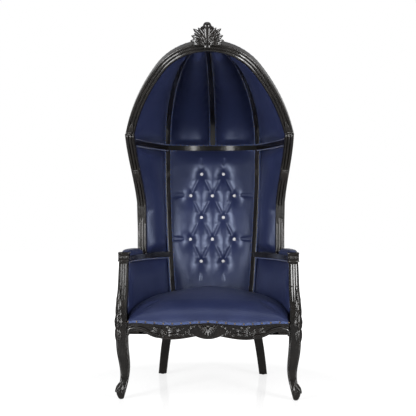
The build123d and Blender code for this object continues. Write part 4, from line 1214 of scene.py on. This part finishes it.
BAND_MIDDLE = (BAND_LOW + BAND_HIGH) / 2
wing_start = hood_centre(BAND_MIDDLE) + Y * HOOD_DEPTH / 2
wing_end = stile_centre(BAND_MIDDLE)
for height, lift in ((BAND_LOW, -1), (BAND_HIGH, 1)):
    level_trim(
        lambda s: bow_point(wing_start, wing_end, WING_BOW, s), LOOK_AHEAD, height, lift,
        STILE_INNER,
    )
    level_trim(
        lambda s: bow_point(wing_end, mirrored(wing_end), back_bow(BAND_MIDDLE), s / 2),
        1 / (TRIM_STEPS - 1), height, lift, STILE_INNER,
    )
arm_trim = (arm_line(ARM_TRIM[0]), arm_line(ARM_TRIM[1]), ARM_BOW * ARM_TRIM[2])
level_trim(
    lambda s: bow_point(*arm_trim, s), LOOK_AHEAD, ARM_RAIL_LOW, -1,
    ARM_RAIL_WIDTH / 2 - ARM_TRIM_INSET,
)

# Trim down the arm post, the hood frame and the arch, where leather meets them
for facing in (1, -1):
    for centre, low, high, half, inner in (
        (post_centre, POST_LINE, ARM_RAIL_LOW, LEG_BLOCK / 2, POST_INNER),
        (hood_centre, ARM_RAIL_TOP, BAND_LOW, HOOD_DEPTH / 2, HOOD_INNER),
    ):
        trim(
            lambda s: centre(lerp(low, high, s)) + Y * half - X * inner * facing,
            lambda s: X * -facing, -facing,
        )
    trim(
        lambda s: arch_at(s)[0] - ARCH_FRONT * (ARCH_DEPTH / 2)
        + arch_at(s)[2] * (HOOD_INNER * ARCH_INSET * facing),
        lambda s: arch_at(s)[2] * facing, -facing, TRIM_STEPS * 2,
    )

# Seat trim: gimp and larger nails along the top edge of the front rail
SEAT_NAIL_PITCH = 0.042
SEAT_NAIL = (0.0046, 0.003, 12, 3)
SEAT_GIMP_END = 0.002
SEAT_GIMP_OUT = 0.0005
SEAT_NAIL_PLACE = Vector((0, -0.0022, 0.006))
SEAT_NAIL_OUT = Vector((0, -1, 0.25))
SEAT_GIMP_RISE = Vector((0, 0.0035, 0.0115))
SEAT_GIMP_SECTION = ((0, 0), (0, 0.0028), (0.6, 0.0040), (1, 0), (1, -0.004))
seat_path = [
    rail_face(spread, rail_top(spread) + SEAT_GIMP_OUT, SEAT_GIMP_OUT)
    for spread in spread_out(0, RAIL_HALF - SEAT_GIMP_END, 81)
]
seat_gimp, seat_nails = Shape(both_sides=True), Shape(both_sides=True)
seat_gimp.loft([
    [point + SEAT_GIMP_RISE * rise + up * out for rise, out in SEAT_GIMP_SECTION]
    for point, _, _, up in path_frames(seat_path, Y * -1)
])
for spot in even_path([point + SEAT_NAIL_PLACE for point in seat_path], SEAT_NAIL_PITCH):
    seat_nails.dome(spot, SEAT_NAIL_OUT, *SEAT_NAIL)
seat_gimp.finish("seat_gimp", GIMP, LEATHER_SLOT)
seat_nails.finish("seat_nails", BRASS, WOOD_SLOT)
gimp.finish("gimp_trim", GIMP, LEATHER_SLOT)
nails.finish("trim_nails", BRASS, WOOD_SLOT)

# Carving
LEAF_SECTION = ((-1, 0), (-0.62, 1), (-0.10, 0.45), (0.10, 0.45), (0.62, 1), (1, 0), (0, -0.4))
LEAF_RINGS = 15
LEAF_POWER = 0.7
LEAF_LOBE = 0.26
LEAF_LEAST = 0.03
LEAF_ROOT = 0.35
BEAD_UP = Vector((0.31, -0.83, 0.46))
SCROLL_STEPS = 26
SCROLL_SIDES = 6
SCROLL_EYE_RISE = 1.5
ROPE_WAVE = (0.80, 0.22)
SCROLL_WIND = 0.72
SCROLL_EYE = 0.30


def carve_leaf(
    shape, root, tip, out, width, thick, lobes=4, arch=0.0, curl=0.0, sway=0.0, belly=0.75
):
    """Carved leaf from root to tip: lobed edges, a grooved vein, and a tip that curls.

    arch lifts its middle, curl its tip, and sway bends it sideways. A belly over 1 sets the
    widest place nearer the tip.
    """
    out = out.normalized()
    side = (tip - root).cross(out).normalized()
    loops = []
    for share in shares(LEAF_RINGS):
        swelling = sin(pi * share**belly) ** LEAF_POWER if 0 < share < 1 else 0.0
        lobe = lerp(1 - LEAF_LOBE, 1, sqrt(abs(sin(lobes * pi * share))))
        half = max(width / 2 * swelling * lobe, width * LEAF_LEAST)
        high = thick * lerp(LEAF_ROOT, 1, swelling)
        bend = sin(share * pi)
        middle = lerp(root, tip, share) + side * sway * bend + out * (arch * bend + curl * share**3)
        loops.append([middle + side * half * x + out * high * y for x, y in LEAF_SECTION])
    shape.loft(loops)


def carve_bead(shape, path, radius, sides=8, twist=0.0, taper=0.0):
    """Round bead along a path; twist cuts it as a rope, taper thins its two ends."""
    loops = []
    run = 0.0
    for index, (point, _, side, up) in enumerate(path_frames(path, BEAD_UP)):
        run += (point - path[max(index - 1, 0)]).length
        thick = radius * (1 - taper * (2 * index / (len(path) - 1) - 1) ** 4)
        loop = []
        for step, spoke in enumerate(spokes(side, up, sides)):
            wave = 1.0
            if twist:
                turn = 4 * pi * step / sides - 2 * pi * run / twist
                wave = ROPE_WAVE[0] + ROPE_WAVE[1] * cos(turn)
            loop.append(point + spoke * thick * wave)
        loops.append(loop)
    shape.loft(loops)


def smooth_path(corners, count):
    """Even points on a smooth curve through corners."""
    path = []
    spans = len(corners) - 1
    for run in spread_out(0, spans, count):
        low = min(int(run), spans - 1)
        part = run - low
        before, start, end, after = (
            corners[min(max(low + step, 0), spans)] for step in (-1, 0, 1, 2)
        )
        path.append((
            start * 2 + (end - before) * part
            + (before * 2 - start * 5 + end * 4 - after) * part**2
            + (start * 3 - before - end * 3 + after) * part**3
        ) / 2)
    return path


def carve_scroll(shape, centre, across, up, radius, bead, turns=1.4, start_turn=0.0):
    """Volute: a bead wound inwards round an eye."""
    path = []
    for share in shares(SCROLL_STEPS):
        turn = start_turn + share * turns * 2 * pi
        reach = radius * (1 - SCROLL_WIND * share)
        path.append(centre + (across * cos(turn) + up * sin(turn)) * reach)
    carve_bead(shape, path, bead, SCROLL_SIDES)
    shape.dome(centre, across.cross(up), radius * SCROLL_EYE, bead * SCROLL_EYE_RISE, 10, 3)


# Crest: a palmette of lobed leaves round a stem and bud, with scroll eyes at its foot
CREST_LEAN = radians(6)
CREST_UP = Vector((0, -sin(CREST_LEAN), cos(CREST_LEAN)))
CREST_OUT = Vector((0, -cos(CREST_LEAN), -sin(CREST_LEAN)))
HEART_MIDDLE = 0.04
HEART = ((0.047, -0.004), (0.051, 0.028), (0.049, 0.054), (0.040, 0.071), (0.028, 0.083),
         (0.018, 0.092))
HEART_LAYERS = ((0.94, -0.012), (1.0, -0.006), (1.0, 0.003), (0.86, 0.009))
# Each leaf's tip across and up, its root out, and its width
CREST_LEAVES = (
    (0.029, 0.086, 0.004, 0.026), (0.042, 0.081, 0.006, 0.028), (0.064, 0.076, 0.008, 0.030),
    (0.060, 0.056, 0.011, 0.030), (0.073, 0.045, 0.012, 0.034), (0.077, 0.022, 0.014, 0.034),
    (0.070, 0.004, 0.017, 0.024), (0.042, 0.050, 0.015, 0.024),
)
CREST_ROOT = (0.12, 0.10)
CREST_SWAY = 0.007
STEM = (-0.014, 0.088)
STEM_HALVES = (0.0165, 0.0145)
STEM_OUT = (0.007, 0.009)
STEM_POWER = 0.7
STEM_BACK = -0.4
BUD_PLACE = (0.0885, 0.004)
BUD_HALF = (0.0192, 0.0178)
BUD_POWER = 0.75
BUD_LEAST = 0.0005
CREST_EYE = (0.043, 0.006, 0.017)
CREST_SCROLL = (0.0105, 0.0026, 1.5, pi * 0.4)
crest = Shape()
crest_foot = arch_at(1)[0] - Y * 0.009


def crest_at(across, up, out=0.0):
    """Place in the crest's plane."""
    return crest_foot + X * across + CREST_UP * up + CREST_OUT * out


heart = [*HEART, *((-across, up) for across, up in HEART[::-1])]
crest.loft([
    [crest_at(x * grow, lerp(HEART_MIDDLE, z, grow), out) for x, z in heart]
    for grow, out in HEART_LAYERS
])
for across, up, out, width in CREST_LEAVES:
    for sign in (1, -1):
        root = crest_at(across * sign * CREST_ROOT[0], up * CREST_ROOT[1] - 0.002, out)
        tip = crest_at(across * sign, up, out / 2)
        sway = -CREST_SWAY * sign
        carve_leaf(crest, root, tip, CREST_OUT, width, 0.007, 0, 0.006, 0.0, sway, belly=1.45)
stem = []
for share in shares(16):
    half = lerp(*STEM_HALVES, sin(share * pi))
    ring = []
    for across, out in ((cos(turn), sin(turn)) for turn in (pi * side / 10 for side in range(20))):
        out = STEM_OUT[0] + STEM_OUT[1] * max(copysign(abs(out) ** STEM_POWER, out), STEM_BACK)
        ring.append(crest_at(half * across, lerp(*STEM, share), out))
    stem.append(ring)
crest.loft(stem)
bud = []
for share in shares(14):
    half = BUD_HALF[0] * sin(pi * share) ** BUD_POWER if 0 < share < 1 else BUD_LEAST
    middle = crest_at(0, BUD_PLACE[0] - BUD_HALF[1] * cos(pi * share), BUD_PLACE[1])
    bud.append([middle + spoke * half for spoke in spokes(X, CREST_OUT, 18)])
crest.loft(bud)
for sign in (1, -1):
    eye = crest_at(CREST_EYE[0] * sign, *CREST_EYE[1:])
    carve_scroll(crest, eye, X * sign, CREST_UP, *CREST_SCROLL)
crest.finish("crest_carving", LACQUER, WOOD_SLOT, "crest")

# Rope edge along the outer front arris of the hood, from the arm to the crest
ROPE_RADIUS = 0.0032
ROPE_PITCH = 0.011
ROPE_INSET = 0.003
ROPE_SINK = 0.0035
ROPE_STEP = 0.0028
ROPE_TOP = KINK_HEIGHT - 0.012
ROPE_ARCH = (0.03, 0.90)
REED_FOOT = ARM_RAIL_TOP + 0.004
REED_TOP = KINK_HEIGHT - 0.006
REED_SINK = 0.0015
# Each reed's place across and radius
REEDS = ((-0.0145, 0.0052), (-0.0015, 0.0068), (0.0115, 0.0052))
FORWARD = Y * -1


def hood_face(height, across=0.0, out=0.0):
    """Place on the front of the hood's side frame, or in front of it."""
    return hood_centre(height) + X * across - Y * (HOOD_DEPTH / 2 + out)


rope = Shape(both_sides=True)
hood_edge = [
    hood_face(height, HOOD_WIDTH / 2 - ROPE_INSET, -ROPE_SINK)
    for height in spread_out(REED_FOOT, ROPE_TOP, 60)
]
arch_edge = [
    point - inward * (ARCH_WIDTH / 2 - ROPE_INSET) + ARCH_FRONT * (ARCH_DEPTH / 2 - ROPE_SINK)
    for point, _, inward in (arch_at(share) for share in spread_out(*ROPE_ARCH, 60))
]
for edge_path in (hood_edge, arch_edge):
    carve_bead(rope, even_path(edge_path, ROPE_STEP), ROPE_RADIUS, 8, ROPE_PITCH)
rope.finish("rope_edges", LACQUER, WOOD_SLOT)

reeds = Shape(both_sides=True)
for across, radius in REEDS:
    heights = spread_out(REED_FOOT, REED_TOP, 48)
    carve_bead(reeds, [hood_face(height, across, -REED_SINK) for height in heights], radius, 10)
reeds.finish("hood_reeds", LACQUER, WOOD_SLOT)

# Kink rosettes and the leafy cuffs lower down the side frames
SURFACE_SINK = 0.001
ROSETTE_REACH = 0.0095
ROSETTE_LIFT = 0.004
CUFF_HEIGHT = 1.092
CUFF_TIP = 1.025
CUFF_BALLS = (-0.0065, 0.004, 0.0145)
CUFF_BAND = (-0.021, 0.023)
# Each cuff leaf's place across and width
CUFF_LEAVES = ((-0.010, 0.018), (0.010, 0.018), (0.0, 0.020))
# Radius, height, sides and rings of domes
PETAL = (0.0060, 0.0045, 10, 3)
ROSETTE_EYE = (0.0055, 0.0065, 12, 3)
CUFF_BALL = (0.0060, 0.0055, 10, 3)
SHELL_EYE = (0.0095, 0.0085, 14, 3)
TOE_BALL = (0.0055, 0.0055, 10, 3)
POST_BALL = (0.0036, 0.0040, 10, 3)
# Leaves: thickness, lobes and arch, after the width where all have the same
KINK_LEAF = (0.030, 0.006, 4, 0.001)
CUFF_LEAF = (0.005, 4, 0.001)
rosettes = Shape(both_sides=True)
kink = hood_face(KINK_HEIGHT, 0.002, 0.002) + Z * ROSETTE_LIFT
for spoke in spokes(X, Z, 6):
    rosettes.dome(kink + spoke * ROSETTE_REACH, FORWARD, *PETAL)
rosettes.dome(kink - Y * SURFACE_SINK, FORWARD, *ROSETTE_EYE)
point, tangent, _ = arch_at(0.035)
point += ARCH_FRONT * (ARCH_DEPTH / 2 - SURFACE_SINK)
for root, tip, out in (
    (point - tangent * 0.012, point + tangent * 0.052, ARCH_FRONT),
    (hood_face(KINK_HEIGHT - 0.022, 0, -SURFACE_SINK) + Z * 0.014,
     hood_face(KINK_HEIGHT - 0.060, 0, -SURFACE_SINK), FORWARD),
):
    carve_leaf(rosettes, root, tip, out, *KINK_LEAF)
cuff = hood_face(CUFF_HEIGHT, 0, 0.002)
for across in CUFF_BALLS:
    rosettes.dome(cuff + X * across, FORWARD, *CUFF_BALL)
band = [
    cuff + X * lerp(*CUFF_BAND, s) + Z * (0.010 - 0.003 * sin(s * pi)) - Y * 0.0005
    for s in shares(9)
]
carve_bead(rosettes, band, 0.0035)
for across, width in CUFF_LEAVES:
    root = cuff + X * across - Z * 0.002
    tip = hood_face(CUFF_TIP, across * 1.2, -SURFACE_SINK)
    carve_leaf(rosettes, root, tip, FORWARD, width, *CUFF_LEAF)
rosettes.finish("hood_ornaments", LACQUER, WOOD_SLOT)

# Apron: glossy scrolls that run from the knees under both humps, leaves, and a shell
MAIN_SCROLL = ((0.3790, 0.3050), (0.3765, 0.3250), (0.3640, 0.3370), (0.3350, 0.3385),
               (0.3000, 0.3300), (0.2650, 0.3120), (0.2350, 0.3020), (0.2100, 0.3020))
UPPER_SCROLL = ((0.378, 0.3440), (0.340, 0.3525), (0.290, 0.3470), (0.240, 0.3400), (0.200, 0.3450))
# Each leaf's root and tip on the rail's face, its width and its sway
APRON_LEAVES = (
    ((0.212, 0.330), (0.262, 0.343), 0.020, 0.003), ((0.212, 0.318), (0.272, 0.326), 0.020, -0.002),
    ((0.205, 0.306), (0.250, 0.302), 0.014, 0.0), ((0.192, 0.330), (0.152, 0.346), 0.018, -0.003),
    ((0.190, 0.318), (0.140, 0.332), 0.020, 0.002), ((0.190, 0.308), (0.146, 0.309), 0.016, 0.0),
    ((0.150, 0.322), (0.112, 0.340), 0.016, 0.003), ((0.150, 0.316), (0.108, 0.306), 0.016, -0.002),
    ((0.176, 0.338), (0.200, 0.349), 0.012, 0.0), ((0.088, 0.334), (0.058, 0.352), 0.015, 0.003),
    ((0.088, 0.314), (0.060, 0.306), 0.013, 0.0),
)
# Radius, sides, twist and taper of beads
MAIN_BEAD = (0.0108, 12, 0, 0.55)
UPPER_BEAD = (0.0030, 8, 0, 0.6)
EDGE_BEAD = (0.0042, 8, 0, 0.3)
LEG_BEAD = (0.0042, 8, 0, 0.5)
EDGE_RUN = (0.062, 0.330)
EDGE_RISE = 0.0048
# Place, way across, radius, bead, turns and start turn of the two volutes
VOLUTES = (
    ((0.205, 0.318, 0.004), X * -1, 0.0135, 0.0034, 1.5, pi * 0.9),
    ((0.098, 0.322, 0.004), X, 0.0120, 0.0032, 1.5, pi * 0.6),
)
APRON_LEAF = (0.0065, 3, 0.002, 0.001)
LEG_LEAF = (0.0065, 3, 0.002, 0.0)
apron = Shape(both_sides=True)
main_scroll = smooth_path([rail_face(x, z, 0.0025) for x, z in MAIN_SCROLL], 60)
upper_scroll = smooth_path([rail_face(x, z, 0.002) for x, z in UPPER_SCROLL], 40)
low_edge = [rail_face(x, rail_low(x) + EDGE_RISE, 0.0015) for x in spread_out(*EDGE_RUN, 50)]
for path, bead in ((main_scroll, MAIN_BEAD), (upper_scroll, UPPER_BEAD), (low_edge, EDGE_BEAD)):
    carve_bead(apron, path, *bead)
for place, across, *sizes in VOLUTES:
    carve_scroll(apron, rail_face(*place), across, Z, *sizes)
for root, tip, width, sway in APRON_LEAVES:
    root, tip = rail_face(*root, 0.0015), rail_face(*tip, 0.001)
    carve_leaf(apron, root, tip, FORWARD, width, *APRON_LEAF, sway)
apron.finish("apron_carving", LACQUER, WOOD_SLOT)

SHELL_FAN = radians(74)
SHELL_HEIGHT = 0.3480
SHELL_REACH = (0.046, 0.034)
SHELL_SPREAD = 1.15
SHELL_ROOT = 0.006
SHELL_OUT = 0.009
SHELL_RIB = (0.0150, 0.0070, 0, 0.0, 0.007)
SHELL_SCROLL = (0.0085, 0.0026, 1.3)
shell = Shape()
for across, down in ((sin(t), cos(t)) for t in spread_out(-SHELL_FAN, SHELL_FAN, 9)):
    reach = lerp(*SHELL_REACH, abs(across))
    root = rail_face(across * SHELL_ROOT, SHELL_HEIGHT - down * SHELL_ROOT, SHELL_OUT)
    tip = rail_face(across * reach * SHELL_SPREAD, SHELL_HEIGHT + 0.002 - down * reach, 0.008)
    carve_leaf(shell, root, tip, FORWARD, *SHELL_RIB, belly=1.3)
shell.dome(rail_face(0, SHELL_HEIGHT + 0.002, 0.008), FORWARD, *SHELL_EYE)
for sign in (1, -1):
    eye = rail_face(0.034 * sign, SHELL_HEIGHT, SHELL_OUT)
    carve_scroll(shell, eye, X * sign, Z, *SHELL_SCROLL)
shell.finish("apron_shell", LACQUER, WOOD_SLOT)

# Knees, posts and feet: acanthus on the outer front corner, a bead down the inner edge
CORNER_OUT = Vector((0.72, -0.69, 0)).normalized()
LEG_SHIFTS = ((0.011, 0.44), (0.110, 0.55), (0.208, -0.75), (0.307, -1.30), (0.405, -1.28),
              (0.504, -0.89), (0.603, -0.39), (0.712, -0.06), (1.0, 0.00))
LEG_WIDTHS = ((0.011, 0.43), (0.110, 0.82), (0.208, 0.70), (0.307, 0.73), (0.405, 0.83),
              (0.504, 0.92), (0.603, 0.98), (0.712, 1.00), (1.0, 1.00))
SHIFT_UNIT = 0.009
KNEE_SWELL = (0.005, 0.13)
INNER_EDGE = (-0.93, 0.96)
INNER_RUN = (0.075, 0.318)
CAPITAL_CORNERS = ((1, 0.8), (0.8, 1), (-0.8, 1), (-1, 0.8), (-1, -0.8), (-0.8, -1), (0.8, -1),
                   (1, -0.8))
# Lower and upper edge, and half width, of the two mouldings of the capital
CAPITALS = ((0.6515, 0.6575, 0.0285), (0.6875, 0.6950, 0.0290))
CAPITAL_ROUNDING = 0.0030
CAPITAL_LEAF = (0.0125, 0.0035, 1)
CAPITAL_LEAF_HEIGHT = 0.6720
CAPITAL_LEAF_SPREAD = 0.018


def leg_at(height, across, forward):
    """Place on a front leg by shares of its half width outwards and forwards."""
    share = height / LEG_TOP
    shift = smooth_through(LEG_SHIFTS, share) * SHIFT_UNIT
    half = smooth_through(LEG_WIDTHS, share) * LEG_BLOCK / 2
    return at(LEG[0] + shift + across * half, LEG[1] - shift - forward * half, height)


def post_at(height, across, forward):
    """Place on an arm post by shares of its half width outwards and forwards."""
    swelling = KNEE_SWELL[0] * sin(pi * held((height - LEG_TOP) / KNEE_SWELL[1]))
    half = POST_WIDTH / 2
    return post_centre(height) + X * (swelling + across * half) - Y * forward * half


legs = Shape(both_sides=True)
for root, tip, out, width, sway in (
    (leg_at(0.345, 0.78, 0.90), leg_at(0.262, 0.66, 0.85), CORNER_OUT, 0.032, 0.0),
    (leg_at(0.335, 0.45, 1.0), leg_at(0.272, 0.30, 1.0), FORWARD, 0.022, 0.002),
    (leg_at(0.335, 0.92, 0.40), leg_at(0.272, 0.90, 0.25), X, 0.022, 0.0),
    (leg_at(0.330, 0.72, 0.98), post_at(0.420, 0.64, 1.0), CORNER_OUT, 0.034, 0.003),
    (post_at(0.385, 0.58, 1.0), post_at(0.478, 0.60, 1.0), CORNER_OUT, 0.030, 0.003),
    (post_at(0.435, 0.64, 1.0), post_at(0.525, 0.52, 1.02), CORNER_OUT, 0.024, 0.002),
    (post_at(0.370, 0.20, 1.02), post_at(0.440, 0.30, 1.02), FORWARD, 0.018, 0.0),
    (post_at(0.415, 0.20, 1.02), post_at(0.480, 0.32, 1.02), FORWARD, 0.015, 0.0),
    (leg_at(0.345, 0.10, 1.0), post_at(0.395, 0.0, 1.02), FORWARD, 0.018, 0.0),
    (post_at(0.380, 0.92, 0.20), post_at(0.460, 0.90, 0.25), X, 0.026, 0.0),
    (leg_at(0.022, 0.20, 0.75), leg_at(0.086, 0.35, 0.90), FORWARD, 0.020, 0.0),
    (leg_at(0.084, 0.55, 0.75), at(0.4375, 0.008, 0.036), CORNER_OUT, 0.026, 0.0),
    (leg_at(0.070, -0.10, 0.98), leg_at(0.026, -0.30, 0.98), FORWARD, 0.014, 0.0),
):
    carve_leaf(legs, root, tip, out, width, *LEG_LEAF, sway)
carve_bead(legs, [leg_at(h, *INNER_EDGE) for h in spread_out(*INNER_RUN, 40)], *LEG_BEAD)
legs.dome(leg_at(0.046, 0.30, 1.0), FORWARD, *TOE_BALL)
for across in (-0.33, 0.33):
    legs.dome(post_at(0.535, across, 0.99), FORWARD, *POST_BALL)
for low, high, reach in CAPITALS:
    rings = []
    for share in shares(5):
        centre = post_centre(low).lerp(post_centre(high), share)
        half = reach - CAPITAL_ROUNDING * (2 * share - 1) ** 2
        rings.append([centre + X * x * half + Y * y * half for x, y in CAPITAL_CORNERS])
    legs.loft(rings)
for across in spread_out(-CAPITAL_LEAF_SPREAD, CAPITAL_LEAF_SPREAD, 4):
    spot = post_centre(CAPITAL_LEAF_HEIGHT) + X * across - Y * 0.0255
    carve_leaf(legs, spot - Z * 0.013, spot + Z * 0.014, FORWARD, *CAPITAL_LEAF)
legs.finish("leg_carving", LACQUER, WOOD_SLOT)

# Floor, light and camera. The floor glows white for the camera, less near the chair, so
# that it keeps the chair's shadow; other rays see it darker.
FLOOR_HALF = 14.0
floor = mesh_object(
    "floor", [(x * FLOOR_HALF, y * FLOOR_HALF, 0) for x, y in ((-1, -1), (1, -1), (1, 1), (-1, 1))],
    [(0, 1, 2, 3)],
)
white = new_nodes("white_floor")
camera_ray = white.add("LightPath", {}, "Is Camera Ray")
distance = white.add("VectorMath", {0: white.place()}, "Value", operation="LENGTH")
white.shader({
    "Base Color": white.mix(camera_ray, (0.38,) * 3, (0.95,) * 3),
    "Roughness": 0.09,
    "Specular IOR Level": 0.9,
})
white.feed(white.tree.nodes["Material Output"], {"Surface": white.add("MixShader", {
    0: white.multiply(camera_ray, white.span(distance, 0.52, 1.0, 0.7, 1.6)),
    1: white.tree.nodes["Principled BSDF"].outputs[0],
    2: white.add("Emission", {"Strength": 1.34}),
})})
dress(floor, white.owner, smooth=False)

# The room is brighter behind the chair than in front of it, and white for the camera
bpy.context.scene.world = bpy.data.worlds.new("studio")
sky = Nodes(bpy.context.scene.world)
ahead = sky.add("SeparateXYZ", {0: sky.place("Generated")}, "Y")
brightness = sky.add("Mix", {
    0: sky.add("LightPath", {}, "Is Camera Ray"),
    2: sky.span(ahead, 0.20, 0.50, -0.6, 0.9),
    3: 1.0,
}, 0, data_type="FLOAT")
sky.feed(sky.tree.nodes["Background"], {"Strength": brightness, "Color": (1, 1, 1, 1)})

# Softboxes aimed at the middle of the chair: name, place, size, power
SEAT_CENTRE = Vector((0, 0, 0.8))
SOFTBOXES = (
    ("left", (-2.5, -3.4, 1.4), (0.8, 2.2), 130),
    ("right", (2.6, -3.3, 1.4), (0.8, 2.2), 115),
    ("side_left", (-3.2, -2.5, 1.6), (0.9, 2.0), 45),
    ("side_right", (3.2, -2.5, 1.6), (0.9, 2.0), 45),
    ("front_left", (-1.75, -5.0, 1.5), (0.6, 1.8), 24),
    ("front_right", (1.6, -5.0, 1.5), (0.6, 1.8), 24),
    ("top", (0, -0.9, 3.6), (2.0, 1.6), 14),
)
# The bowed back band mirrors only the two front lamps, as in the photo
WIDE_LAMPS = ("left", "right", "side_left", "side_right")
spared = bpy.data.collections.new("without_wide_lamps")
spared.objects.link(bpy.data.objects["band_back"])
for name, place, size, power in SOFTBOXES:
    data = bpy.data.lights.new(name, "AREA")
    data.shape = "RECTANGLE"
    data.size, data.size_y = size
    data.energy = power
    lamp = link_object(name, data)
    lamp.location = place
    lamp.rotation_mode = "QUATERNION"
    lamp.rotation_quaternion = (SEAT_CENTRE - Vector(place)).to_track_quat("-Z", "Y")
    if name in WIDE_LAMPS:
        lamp.light_linking.receiver_collection = spared
spared.collection_objects[0].light_linking.link_state = "EXCLUDE"

# The photograph: a level camera a little to the right of the middle
CAMERA_HEIGHT = 0.906
CAMERA_AWAY = 4.3
CAMERA_TURN = asin(0.0375)
FOCAL_PIXELS = 916.0
PHOTO_PIXELS = 416.0
SENSOR = 36.0
camera_data = bpy.data.cameras.new("camera")
camera_data.sensor_width = SENSOR
camera_data.lens = SENSOR * FOCAL_PIXELS / PHOTO_PIXELS
camera = link_object("camera", camera_data)
camera.location = (CAMERA_AWAY * tan(CAMERA_TURN), FRONT_Y - CAMERA_AWAY, CAMERA_HEIGHT)
camera.rotation_euler = (pi / 2, 0, CAMERA_TURN)
bpy.context.scene.camera = camera
bpy.context.scene.view_settings.view_transform = "Standard"
